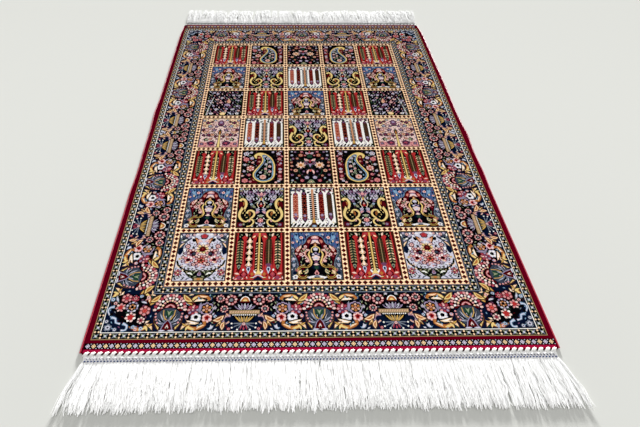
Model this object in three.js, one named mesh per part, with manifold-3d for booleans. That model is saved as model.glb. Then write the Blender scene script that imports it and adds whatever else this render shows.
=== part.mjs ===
// A silk rug lying flat: knotted pile, overcast side cords, white end stitching, flat-woven ends and fringes.
// Millimetres, +Z up. X runs across the rug and -Y is its front end. The origin is on the floor, under the middle.
import * as THREE from "three";
import { mergeVertices } from "three/addons/utils/BufferGeometryUtils.js";
import Module from "manifold-3d";

// Knotted pile
const PILE_WIDTH = 1017;
const PILE_LENGTH = 1500;
const PILE_HEIGHT = 6;
const PILE_RIM = 1.5;
const CORNER_RADIUS = 5;
const CORNER_STEPS = 3;
const SIDE_STEPS = 50;

// Side cords, wrapped in silk along the two long edges
const CORD_DIAMETER = 4.5;
const CORD_FACETS = 8;
const CORD_END_INSET = 4;

// Clearance between neighbouring pieces, and the distance under which corners of one piece are the same point
const GAP = 0.3;
const MERGE_DISTANCE = 1e-4;

// White stitches whipped over each end of the pile
const STITCH_COUNT = 70;
const STITCH_SPAN = 1008;
const STITCH_DEPTH = 9;
const STITCH_HEIGHT = 5;

// One stitch's edge next to the pile, left to right: across is a share of the pitch, back is in millimetres.
const STITCH_LOOP = [
  { across: 0.1, back: 3.4 },
  { across: 0.42, back: 0.4 },
  { across: 0.78, back: 0.0 },
  { across: 0.96, back: 1.6 },
];

// Flat-woven strip that the fringe grows out of
const BAND_SPAN = 1000;
const BAND_DEPTH = 8;
const BAND_HEIGHT = 2.4;

// Fringe: bundles of warp threads lying on the floor
const STRAND_COUNT = 146;
const STRAND_SPAN = 990;
const FRINGE_LENGTH = 108;
const FRINGE_SHORTFALL = 12;
const FAN_REACH = 22;
const FAN_SHARPNESS = 14;
const STRAND_CURVE = 1.5;
const GOLDEN_STEP = (Math.sqrt(5) - 1) / 2;

// Slow and quick sideways wander of the strands' tips along the rug's end
const WANDER = [
  { amount: 2.0, wavelength: 232, phase: 0.4 },
  { amount: 1.1, wavelength: 71, phase: 1.7 },
];

// Where a long side leaves its straight line: side is -1 on the left and 1 on the right, at is the place along Y,
// reach the half length of the bulge, and out how far it stands out, or is drawn in where it is negative.
const SIDE_BULGES = [
  { side: -1, at: 115, reach: 55, out: 3.6 },
  { side: -1, at: -170, reach: 60, out: -1.2 },
  { side: -1, at: -275, reach: 40, out: 1.2 },
  { side: -1, at: 750, reach: 60, out: -6.0 },
  { side: 1, at: 310, reach: 90, out: 1.4 },
  { side: 1, at: 120, reach: 40, out: -1.0 },
  { side: 1, at: -15, reach: 50, out: 4.4 },
  { side: 1, at: -190, reach: 50, out: 2.6 },
  { side: 1, at: 750, reach: 50, out: -7.0 },
];

// Sections of one strand from its root, sunk in the band, to its tip: along is the share of the free length.
const STRAND_SECTIONS = [
  { along: -0.045, width: 4.0, height: 1.8 },
  { along: 0.5, width: 4.3, height: 2.9 },
  { along: 1.0, width: 2.2, height: 1.6 },
];

const SILK_RED = { color: 0x6d0a1e, roughness: 0.55, metalness: 0 };
const CORD_RED = { color: 0x8e1430, roughness: 0.5, metalness: 0 };
const THREAD_WHITE = { color: 0xf1f0ee, roughness: 0.75, metalness: 0 };

const wasm = await Module();
wasm.setup();

// A closed geometry as a solid that can be joined to others.
function toSolid(geometry) {
  const bare = geometry.clone();
  bare.deleteAttribute("normal");
  bare.deleteAttribute("uv");
  const merged = mergeVertices(bare, MERGE_DISTANCE);
  return new wasm.Manifold(
    new wasm.Mesh({
      numProp: 3,
      vertProperties: new Float32Array(merged.attributes.position.array),
      triVerts: new Uint32Array(merged.index.array),
    }),
  );
}

// A joined solid back as a geometry.
function toGeometry(solid) {
  const mesh = solid.getMesh();
  const geometry = new THREE.BufferGeometry();
  geometry.setAttribute("position", new THREE.BufferAttribute(mesh.vertProperties, 3));
  geometry.setIndex(new THREE.BufferAttribute(mesh.triVerts, 1));
  geometry.computeVertexNormals();
  return geometry;
}

// A closed skin over rings of points that all have the same count, counter-clockwise seen from the last ring.
function loft(rings) {
  const count = rings[0].length;
  const positions = rings.flat().flatMap((p) => [p.x, p.y, p.z]);
  const index = [];
  for (let r = 0; r + 1 < rings.length; r++) {
    for (let k = 0; k < count; k++) {
      const a = r * count + k;
      const b = r * count + ((k + 1) % count);
      index.push(a, b, b + count, a, b + count, a + count);
    }
  }
  const last = (rings.length - 1) * count;
  for (let k = 1; k + 1 < count; k++) {
    index.push(0, k + 1, k);
    index.push(last, last + k, last + k + 1);
  }
  const geometry = new THREE.BufferGeometry();
  geometry.setAttribute("position", new THREE.Float32BufferAttribute(positions, 3));
  geometry.setIndex(index);
  return geometry;
}

// How far a long side of the pile lies from the middle line at a place along Y.
function halfWidth(side, y) {
  const bulges = SIDE_BULGES.filter((bulge) => bulge.side === side);
  const out = bulges.map((bulge) => bulge.out * Math.exp(-(((y - bulge.at) / bulge.reach) ** 2)));
  return PILE_WIDTH / 2 + out.reduce((sum, part) => sum + part, 0);
}

// Points up one long side, from the front end to the back, leaving room for the round corners.
function sidePoints(side, inset, steps) {
  const reach = PILE_LENGTH / 2 - inset;
  return Array.from({ length: steps + 1 }, (_, k) => {
    const y = -reach + (2 * reach * k) / steps;
    return new THREE.Vector2(side * halfWidth(side, y), y);
  });
}

// A quarter turn from one long side to an end, or back, without its first and last point.
function cornerPoints(side, end, startAngle) {
  const y = end * (PILE_LENGTH / 2 - CORNER_RADIUS);
  const x = side * (halfWidth(side, y) - CORNER_RADIUS);
  return Array.from({ length: CORNER_STEPS }, (_, k) => {
    const angle = startAngle + ((k + 1) / (CORNER_STEPS + 1)) * (Math.PI / 2);
    return new THREE.Vector2(x + CORNER_RADIUS * Math.cos(angle), y + CORNER_RADIUS * Math.sin(angle));
  });
}

// The end of a straight edge next to a corner.
function endPoint(side, end) {
  const y = end * (PILE_LENGTH / 2 - CORNER_RADIUS);
  return new THREE.Vector2(side * (halfWidth(side, y) - CORNER_RADIUS), (end * PILE_LENGTH) / 2);
}

// The knotted pile: one flat slab with the rug's uneven outline and a soft rim.
function pileGeometry() {
  const outline = [
    endPoint(-1, -1),
    endPoint(1, -1),
    ...cornerPoints(1, -1, -Math.PI / 2),
    ...sidePoints(1, CORNER_RADIUS, SIDE_STEPS),
    ...cornerPoints(1, 1, 0),
    endPoint(1, 1),
    endPoint(-1, 1),
    ...cornerPoints(-1, 1, Math.PI / 2),
    ...sidePoints(-1, CORNER_RADIUS, SIDE_STEPS).reverse(),
    ...cornerPoints(-1, -1, Math.PI),
  ];
  const geometry = new THREE.ExtrudeGeometry(new THREE.Shape(outline), {
    depth: PILE_HEIGHT - 2 * PILE_RIM,
    bevelEnabled: true,
    bevelThickness: PILE_RIM,
    bevelSize: PILE_RIM,
    bevelOffset: -PILE_RIM,
    bevelSegments: 1,
  });
  return geometry.translate(0, 0, PILE_RIM);
}

// One side cord, lying on the floor against the pile's edge.
function cordGeometry(side) {
  const corner = CORD_DIAMETER / 2 / Math.cos(Math.PI / CORD_FACETS);
  const section = Array.from({ length: CORD_FACETS }, (_, k) => {
    const angle = ((k + 0.5) / CORD_FACETS) * 2 * Math.PI;
    return new THREE.Vector2(corner * Math.cos(angle), corner * Math.sin(angle));
  });
  const offset = side * (GAP + CORD_DIAMETER / 2);
  const route = sidePoints(side, CORD_END_INSET, SIDE_STEPS).map(
    (p) => new THREE.Vector3(p.x + offset, p.y, CORD_DIAMETER / 2),
  );
  return new THREE.ExtrudeGeometry(new THREE.Shape(section), {
    steps: SIDE_STEPS,
    extrudePath: new THREE.CatmullRomCurve3(route),
  });
}

// The row of whipped stitches: a strip whose edge next to the pile runs in slanting loops.
function stitchGeometry() {
  const pitch = STITCH_SPAN / STITCH_COUNT;
  const outline = [
    new THREE.Vector2(-STITCH_SPAN / 2, -STITCH_DEPTH),
    new THREE.Vector2(STITCH_SPAN / 2, -STITCH_DEPTH),
  ];
  for (let k = STITCH_COUNT - 1; k >= 0; k--) {
    const start = -STITCH_SPAN / 2 + k * pitch;
    for (const point of [...STITCH_LOOP].reverse()) {
      outline.push(new THREE.Vector2(start + point.across * pitch, -point.back));
    }
  }
  return new THREE.ExtrudeGeometry(new THREE.Shape(outline), { depth: STITCH_HEIGHT, bevelEnabled: false });
}

// An even scatter between 0 and 1 for each strand, in steps of the golden ratio.
function scatter(k) {
  const turn = k * GOLDEN_STEP;
  return turn - Math.floor(turn);
}

// Sideways reach of a strand's tip: the outermost strands fan out, and all wander a little.
function tipShift(x) {
  const share = x / (STRAND_SPAN / 2);
  const fan = Math.sign(x) * FAN_REACH * Math.abs(share) ** FAN_SHARPNESS;
  const waves = WANDER.map((w) => w.amount * Math.sin((2 * Math.PI * x) / w.wavelength + w.phase));
  const held = 1 - Math.abs(share) ** FAN_SHARPNESS;
  return fan + held * waves.reduce((sum, part) => sum + part, 0);
}

// One strand: a three-sided bundle of threads that leaves the band and rests level on the floor.
function strandGeometry(k) {
  const x = -STRAND_SPAN / 2 + (STRAND_SPAN * k) / (STRAND_COUNT - 1);
  const length = FRINGE_LENGTH - FRINGE_SHORTFALL * scatter(k) * Math.sin((Math.PI * k) / (STRAND_COUNT - 1));
  const shift = tipShift(x);
  const rings = STRAND_SECTIONS.map((s) => {
    const y = -BAND_DEPTH - s.along * length;
    const middle = x + shift * Math.max(0, s.along) ** STRAND_CURVE;
    return [
      new THREE.Vector3(middle - s.width / 2, y, 0),
      new THREE.Vector3(middle + s.width / 2, y, 0),
      new THREE.Vector3(middle, y, s.height),
    ];
  });
  return loft(rings);
}

// The flat-woven strip with its fringe, one piece of cloth.
function fringeGeometry() {
  const band = new THREE.BoxGeometry(BAND_SPAN, BAND_DEPTH, BAND_HEIGHT);
  band.translate(0, -BAND_DEPTH / 2, BAND_HEIGHT / 2);
  let solid = toSolid(band);
  for (let k = 0; k < STRAND_COUNT; k++) {
    solid = solid.add(toSolid(strandGeometry(k)));
  }
  return toGeometry(solid);
}

function addPiece(group, name, geometry, finish) {
  const piece = new THREE.Mesh(geometry, new THREE.MeshStandardMaterial(finish));
  piece.name = name;
  group.add(piece);
  return piece;
}

// One end of the rug, built for the front and turned half round for the back.
function endGroup(name, turn) {
  const group = new THREE.Group();
  const stitches = addPiece(group, `end_stitches_${name}`, stitchGeometry(), THREAD_WHITE);
  stitches.position.y = -PILE_LENGTH / 2 - GAP;
  const fringe = addPiece(group, `fringe_${name}`, fringeGeometry(), THREAD_WHITE);
  fringe.position.y = -PILE_LENGTH / 2 - STITCH_DEPTH - 2 * GAP;
  group.rotation.z = turn;
  return group;
}

const rug = new THREE.Group();
rug.name = "silk_rug";
addPiece(rug, "knotted_pile", pileGeometry(), SILK_RED);
addPiece(rug, "side_cord_left", cordGeometry(-1), CORD_RED);
addPiece(rug, "side_cord_right", cordGeometry(1), CORD_RED);
rug.add(endGroup("front", 0));
rug.add(endGroup("back", Math.PI));

export default rug;
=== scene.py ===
"""A silk garden rug on a pale floor: knotted pile, wrapped side cords, whipped ends and white fringes."""

import logging
import math
from dataclasses import dataclass
from enum import Enum

import bpy
import numpy as np
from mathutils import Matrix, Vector
from mathutils.geometry import delaunay_2d_cdt


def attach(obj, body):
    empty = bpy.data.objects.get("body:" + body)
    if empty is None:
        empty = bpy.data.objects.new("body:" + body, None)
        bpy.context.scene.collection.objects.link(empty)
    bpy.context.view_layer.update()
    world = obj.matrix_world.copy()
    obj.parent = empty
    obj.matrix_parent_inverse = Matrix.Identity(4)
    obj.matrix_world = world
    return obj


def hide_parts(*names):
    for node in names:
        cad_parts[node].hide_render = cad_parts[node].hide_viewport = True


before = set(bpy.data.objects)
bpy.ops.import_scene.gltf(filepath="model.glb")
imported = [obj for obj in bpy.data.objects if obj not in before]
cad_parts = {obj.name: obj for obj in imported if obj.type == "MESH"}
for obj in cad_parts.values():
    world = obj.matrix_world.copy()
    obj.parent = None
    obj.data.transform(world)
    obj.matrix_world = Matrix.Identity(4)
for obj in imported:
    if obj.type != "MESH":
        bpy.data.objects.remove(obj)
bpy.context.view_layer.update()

LOG = logging.getLogger("silk_rug")
MM = 0.001
BODY = "root"
STUDIO_BALANCE = 0.77
BUD = 3.6
SMALL_FLOWER = 8.0
SCATTER_STEPS = (0.7548776662, 0.5698402910)
GOLDEN_TURN = 137.5
GOLDEN_SHARE = 0.618
ACROSS = np.array((1.0, 0.0, 0.0))
ALONG = np.array((0.0, 1.0, 0.0))
UP = np.array((0.0, 0.0, 1.0))
Point = tuple[float, float]


class Dye(Enum):
    """The silks of the rug, as red, green and blue out of 255 before the studio's balance dims them."""

    CRIMSON = (98, 0, 24)
    MAROON = (84, 6, 14)
    GARNET = (74, 10, 10)
    CERISE = (164, 18, 58)
    RED = (180, 48, 48)
    RUST = (146, 58, 42)
    CORAL = (206, 88, 78)
    ROSE = (172, 66, 82)
    PINK = (220, 152, 152)
    BLUSH = (240, 208, 200)
    PEACH = (224, 176, 148)
    SALMON = (212, 136, 112)
    ORANGE = (184, 114, 56)
    GOLD = (206, 164, 86)
    STRAW = (238, 210, 136)
    CREAM = (254, 217, 176)
    WHEAT = (274, 236, 190)
    IVORY = (250, 247, 242)
    MIST = (212, 210, 226)
    LILAC = (160, 142, 172)
    MAUVE = (112, 66, 98)
    BLUE = (58, 90, 140)
    SKY = (132, 170, 202)
    STEEL = (118, 126, 140)
    SLATE = (58, 66, 82)
    NAVY = (7, 18, 42)
    INK = (6, 5, 8)
    NIGHT = (7, 6, 8)
    WINE = (78, 8, 18)
    SAGE = (150, 160, 126)
    GREEN = (34, 66, 48)
    OLIVE = (44, 44, 26)
    BARK = (76, 42, 30)
    BEIGE = (166, 144, 104)

    def linear(self) -> tuple[float, float, float]:
        """The dye in the linear colours that a shader reads."""
        return tuple(STUDIO_BALANCE * to_linear(part / 255) for part in self.value)


class Flower(Enum):
    """Flowers that the design repeats: how many petals, then the dyes from the rim to the heart."""

    LILAC = (5, Dye.LILAC, Dye.MIST, Dye.MAUVE)
    MIST = (5, Dye.MIST, Dye.MAUVE, Dye.IVORY)
    STEEL = (5, Dye.STEEL, Dye.MIST, Dye.NAVY)
    SAGE = (5, Dye.SAGE, Dye.OLIVE, Dye.CREAM)
    PINK = (5, Dye.PINK, Dye.BLUSH, Dye.MAROON)
    BLUSH = (5, Dye.BLUSH, Dye.PINK, Dye.RED)
    ROSE = (6, Dye.ROSE, Dye.PINK, Dye.MAROON)
    CORAL = (6, Dye.PINK, Dye.CORAL, Dye.BLUSH)
    PEACH = (5, Dye.PEACH, Dye.SALMON, Dye.BARK)
    RUST = (5, Dye.RUST, Dye.PEACH, Dye.MAROON)
    MAUVE = (5, Dye.MAUVE, Dye.LILAC, Dye.INK)
    DUSK = (6, Dye.MAUVE, Dye.INK, Dye.ROSE)
    GOLD = (6, Dye.GOLD, Dye.STRAW, Dye.MAROON)
    SNOW = (5, Dye.IVORY, Dye.MIST, Dye.INK)
    SEA = (5, Dye.SKY, Dye.MIST, Dye.NAVY)


def to_linear(part: float) -> float:
    """One channel of a display colour, from 0 to 1, as linear light."""
    return part / 12.92 if part <= 0.04045 else ((part + 0.055) / 1.055) ** 2.4


def turned(points: np.ndarray, degrees: float) -> np.ndarray:
    """Points turned counter-clockwise about the origin."""
    angle = math.radians(degrees)
    spin = np.array(((math.cos(angle), math.sin(angle)), (-math.sin(angle), math.cos(angle))))
    return points @ spin


def smooth(points: list[Point] | tuple[Point, ...], steps: int, closed: bool = False) -> np.ndarray:
    """Samples a soft curve through a few points.

    Args:
        points: The points that the curve passes through.
        steps: Samples for each stretch between two points.
        closed: Whether the curve runs back to its start.

    Returns:
        The samples, one row each.
    """
    p = np.asarray(points, float)
    ends = (p[-1:], p[:2]) if closed else (2 * p[:1] - p[1:2], 2 * p[-1:] - p[-2:-1])
    q = np.vstack((ends[0], p, ends[1]))
    t = (np.arange(steps) / steps)[:, None]
    spans = [
        0.5 * (2 * b + (c - a) * t + (2 * a - 5 * b + 4 * c - d) * t**2 + (3 * b - a - 3 * c + d) * t**3)
        for a, b, c, d in zip(q[:-3], q[1:-2], q[2:-1], q[3:])
    ]
    return np.vstack(spans if closed else spans + [p[-1:]])


def normals_of(points: np.ndarray, closed: bool) -> np.ndarray:
    """Unit vectors to the left of each point of a line."""
    if closed:
        along = np.roll(points, -1, 0) - np.roll(points, 1, 0)
    else:
        along = np.gradient(points, axis=0)
    along /= np.maximum(np.linalg.norm(along, axis=1, keepdims=True), 1e-9)
    return np.stack((-along[:, 1], along[:, 0]), 1)


Patch = tuple[np.ndarray, Dye]


class Cartoon:
    """A weaver's plan: patches of one dye each, laid one over another, in millimetres."""

    def __init__(self) -> None:
        """Starts an empty plan."""
        self.patches: list[Patch] = []

    def lay(self, dye: Dye, outline: np.ndarray | list[Point]) -> None:
        """Lays one patch with the given outline over what is there."""
        self.patches.append((np.asarray(outline, float), dye))

    def place(
        self, other: "Cartoon", x: float = 0.0, y: float = 0.0, turn: float = 0.0, flip: bool = False
    ) -> None:
        """Lays a copy of another plan over this one.

        Args:
            other: The plan to copy.
            x: Where its middle goes across.
            y: Where its middle goes along.
            turn: Degrees that it is turned counter-clockwise.
            flip: Whether it is mirrored left to right first.
        """
        side = np.array((-1 if flip else 1, 1))
        for outline, dye in other.patches:
            self.lay(dye, turned(outline * side, turn) + (x, y))

    def pair(self, half: "Cartoon") -> None:
        """Lays a plan and its mirror image."""
        self.place(half)
        self.place(half, flip=True)

    def block(self, dye: Dye, x0: float, y0: float, x1: float, y1: float) -> None:
        """A rectangle between two corners."""
        self.lay(dye, [(x0, y0), (x1, y0), (x1, y1), (x0, y1)])

    def lozenge(self, dye: Dye, x: float, y: float, width: float, height: float) -> None:
        """A diamond that stands on its point."""
        self.lay(dye, [(x - width / 2, y), (x, y - height / 2), (x + width / 2, y), (x, y + height / 2)])

    def oval(
        self, dye: Dye, x: float, y: float, rx: float, ry: float = 0.0, turn: float = 0.0, sides: int = 6
    ) -> None:
        """An oval, or a round spot where only one radius is given."""
        angle = np.arange(sides) * 2 * math.pi / sides
        rim = np.stack((rx * np.cos(angle), (ry or rx) * np.sin(angle)), 1)
        self.lay(dye, turned(rim, turn) + (x, y))

    def rosette(
        self, dye: Dye, x: float, y: float, radius: float,
        petals: int = 5, notch: float = 0.26, squash: float = 1.0,
    ) -> None:
        """A round flower outline with lobed petals, pointed ones where the flower is small.

        Args:
            dye: The silk it is knotted in.
            x: Its middle across.
            y: Its middle along.
            radius: From its middle to a petal's tip.
            petals: How many petals it has.
            notch: How deep the dips between petals are, as a share of the radius.
            squash: Its height as a share of its width.
        """
        if radius < BUD:
            self.oval(dye, x, y, radius, squash * radius, sides=petals)
            return
        angle = np.arange(petals)[:, None] * 2 * math.pi / petals + math.pi / 2
        small = radius < SMALL_FLOWER
        lobe = np.array((-0.5, 0.0) if small else (-0.5, -0.22, 0.22)) * 2 * math.pi / petals
        reach = radius * np.array((1 - notch, 1) if small else (1 - notch, 1, 1))
        theta = (angle + lobe).ravel()
        r = np.tile(reach, petals)
        self.lay(dye, np.stack((x + r * np.cos(theta), y + squash * r * np.sin(theta)), 1))

    def drop(self, dye: Dye, x: float, y: float, width: float, height: float, turn: float = 0.0) -> None:
        """A teardrop with its point up, about its own middle."""
        half = np.array(((0, 0.5), (0.22, 0.2), (0.46, -0.16), (0.28, -0.45)))
        rim = np.vstack((half, (half[:0:-1]) * (-1, 1))) * (width, height)
        self.lay(dye, turned(rim, turn) + (x, y))

    def leaf(
        self, dye: Dye, start: Point, end: Point, width: float, bend: float = 0.0, steps: int = 4
    ) -> None:
        """A pointed leaf between two points, bowed to its left by bend."""
        a, b = np.array(start, float), np.array(end, float)
        t = np.arange(1, steps) / steps
        side = np.array((a[1] - b[1], b[0] - a[0]))
        side /= max(np.linalg.norm(side), 1e-9)
        spine = a + (b - a) * t[:, None] + side * (bend * 4 * t * (1 - t))[:, None]
        half = side * (width / 2 * np.sin(math.pi * t) ** 0.8)[:, None]
        self.lay(dye, np.vstack((a, spine + half, b, (spine - half)[::-1])))

    def frond(self, start: Point, end: Point, width: float, bend: float, *dyes: Dye) -> None:
        """A leaf with smaller leaves of other dyes inside it, named from the rim inwards."""
        a, b = np.array(start, float), np.array(end, float)
        for k, dye in enumerate(dyes):
            inset = (b - a) * 0.11 * k
            self.leaf(dye, a + inset, b - inset, width * (1 - 0.36 * k), bend)

    def dabs(self, dye: Dye, length: float, *spots: tuple[float, float, float]) -> None:
        """Small slim leaves of one length, each at x and y with its own turn in degrees."""
        for x, y, turn in spots:
            self.oval(dye, x, y, length / 2, length * 0.2, turn, sides=4)

    def sprinkle(
        self, dyes: tuple[Dye, ...], count: int, box: tuple[float, float, float, float],
        length: float, lean: float = 0.0,
    ) -> None:
        """Fills a ground with small leaves in an even scatter.

        Args:
            dyes: The silks they are knotted in, used in turn.
            count: How many leaves there are.
            box: The ground's left, lower, right and upper edges.
            length: The length of a leaf.
            lean: The way that all of them lean, in degrees, or 0 where they lie every way.
        """
        low, high = np.array(box[:2]), np.array(box[2:])
        for k in range(count):
            spot = low + (high - low) * (((k + 1) * np.array(SCATTER_STEPS)) % 1)
            turn = lean + 18 * math.sin(2.4 * k) if lean else GOLDEN_TURN * k
            self.dabs(dyes[k % len(dyes)], length * (0.8 + 0.4 * (k * GOLDEN_SHARE % 1)), (*spot, turn))

    def ribbon(self, dye: Dye, points: list[Point], width: float, tip: float = -1.0, steps: int = 3) -> None:
        """A curling stroke through a few points.

        Args:
            dye: The silk it is knotted in.
            points: The points that its middle passes through.
            width: Its width at the start.
            tip: Its width at the end, the same as at the start where it is negative.
            steps: Samples for each stretch between two points.
        """
        spine = smooth(points, steps)
        share = np.linspace(0, 1, len(spine))[:, None]
        half = normals_of(spine, False) * (width + (width if tip < 0 else tip) * share - width * share) / 2
        self.lay(dye, np.vstack((spine + half, (spine - half)[::-1])))

    def scroll(self, points: list[Point], width: float, tip: float, *dyes: Dye) -> None:
        """A curling stroke with narrower strokes of other dyes inside it, named from the rim inwards."""
        for share, dye in zip((1.0, 0.72, 0.34), dyes):
            self.ribbon(dye, points, width * share, tip * share, steps=2)

    def blob(self, dye: Dye, points: list[Point], grow: float = 0.0, steps: int = 3) -> None:
        """A soft closed shape through points given counter-clockwise, grown outwards by some distance."""
        rim = smooth(points, steps, closed=True)
        self.lay(dye, rim - grow * normals_of(rim, True))

    def bloom(self, x: float, y: float, radius: float, *dyes: Dye, petals: int = 6) -> None:
        """A flower of nested rings, its dyes named from the rim to the heart."""
        shares = (1.0, 0.64, 0.34, 0.18)
        for share, dye in zip(shares, dyes[:-1]):
            self.rosette(dye, x, y, radius * share, petals)
        self.oval(dyes[-1], x, y, radius * shares[len(dyes) - 1], sides=4)

    def flowers(self, kind: Flower, *spots: tuple[float, float, float], edge: Dye | None = None) -> None:
        """Flowers of one kind, each at x and y with its own radius, and with an edge where one is given."""
        petals, *dyes = kind.value
        for x, y, radius in spots:
            if edge:
                self.rosette(edge, x, y, radius + 2.0, petals)
            self.bloom(x, y, radius, *dyes, petals=petals)

    def petals(
        self, dyes: tuple[Dye, ...], x: float, y: float, reach: float, length: float, count: int
    ) -> None:
        """A ring of separate petals round a middle, their dyes used in turn."""
        width = 0.86 * math.pi * reach / count
        for k in range(count):
            angle = math.radians(90 + 360 * k / count)
            spot = (x + reach * math.cos(angle), y + reach * math.sin(angle))
            self.oval(dyes[k % len(dyes)], *spot, length / 2, width, math.degrees(angle), sides=5)

    def rose(self, x: float, y: float, radius: float, *dyes: Dye) -> None:
        """A full rose: a dark edge, separate petals, a cup and a heart, in that order of dyes."""
        edge, petal, cup, heart = dyes
        self.rosette(edge, x, y, radius, 6, 0.14)
        self.petals((petal,), x, y, 0.66 * radius, 0.52 * radius, 6)
        self.rosette(cup, x, y, 0.42 * radius, 5, 0.2)
        self.oval(heart, x, y, 0.2 * radius, sides=5)


def mirrored(points: tuple[Point, ...]) -> list[Point]:
    """The right half of an outline, from its foot to its crown, with its left half added."""
    return [*points, *((-x, y) for x, y in reversed(points) if x)]


@dataclass(frozen=True)
class Panel:
    """One compartment of the field, drawn about its own middle with its top towards the far end."""

    width: float = 125.0
    height: float = 148.0

    def ground(self, dye: Dye) -> Cartoon:
        """A plan that holds only the compartment's ground."""
        plan = Cartoon()
        plan.block(dye, -self.width / 2, -self.height / 2, self.width / 2, self.height / 2)
        return plan

    def draw(self) -> Cartoon:
        """The compartment's plan."""
        raise NotImplementedError


@dataclass(frozen=True)
class Cypress:
    """One slim tree of a striped compartment: a pointed column with rows of paired leaves and a foot."""

    x: float
    half: float
    top: float
    foot: float
    body: Dye
    leaf: Dye
    tip: Dye = Dye.INK
    pitch: float = 8.2
    every: int = 1
    taper: float = 1.6
    root: float = 13.0

    def draw(self, plan: Cartoon) -> None:
        """Lays the tree on a compartment's plan."""
        x, half, foot, top = self.x, self.half, self.foot, self.top
        shoulder = top - self.taper * half
        column = [(x - half, foot), (x + half, foot), (x + half, shoulder), (x, top), (x - half, shoulder)]
        plan.lay(self.body, column)
        plan.lay(
            self.tip, [(x - half, foot + 1), (x, foot - self.root), (x + half, foot + 1), (x, foot + 5)]
        )
        for row in range(int((shoulder - foot) / self.pitch)):
            y = foot + (row + 0.6) * self.pitch
            dye = self.leaf if row % self.every == 0 else Dye.CREAM
            for side in (-1, 1):
                plan.leaf(dye, (x + side * (half + 0.6), y - 2.6), (x + side * 0.9, y + 2.8), 4.2, steps=3)


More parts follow.
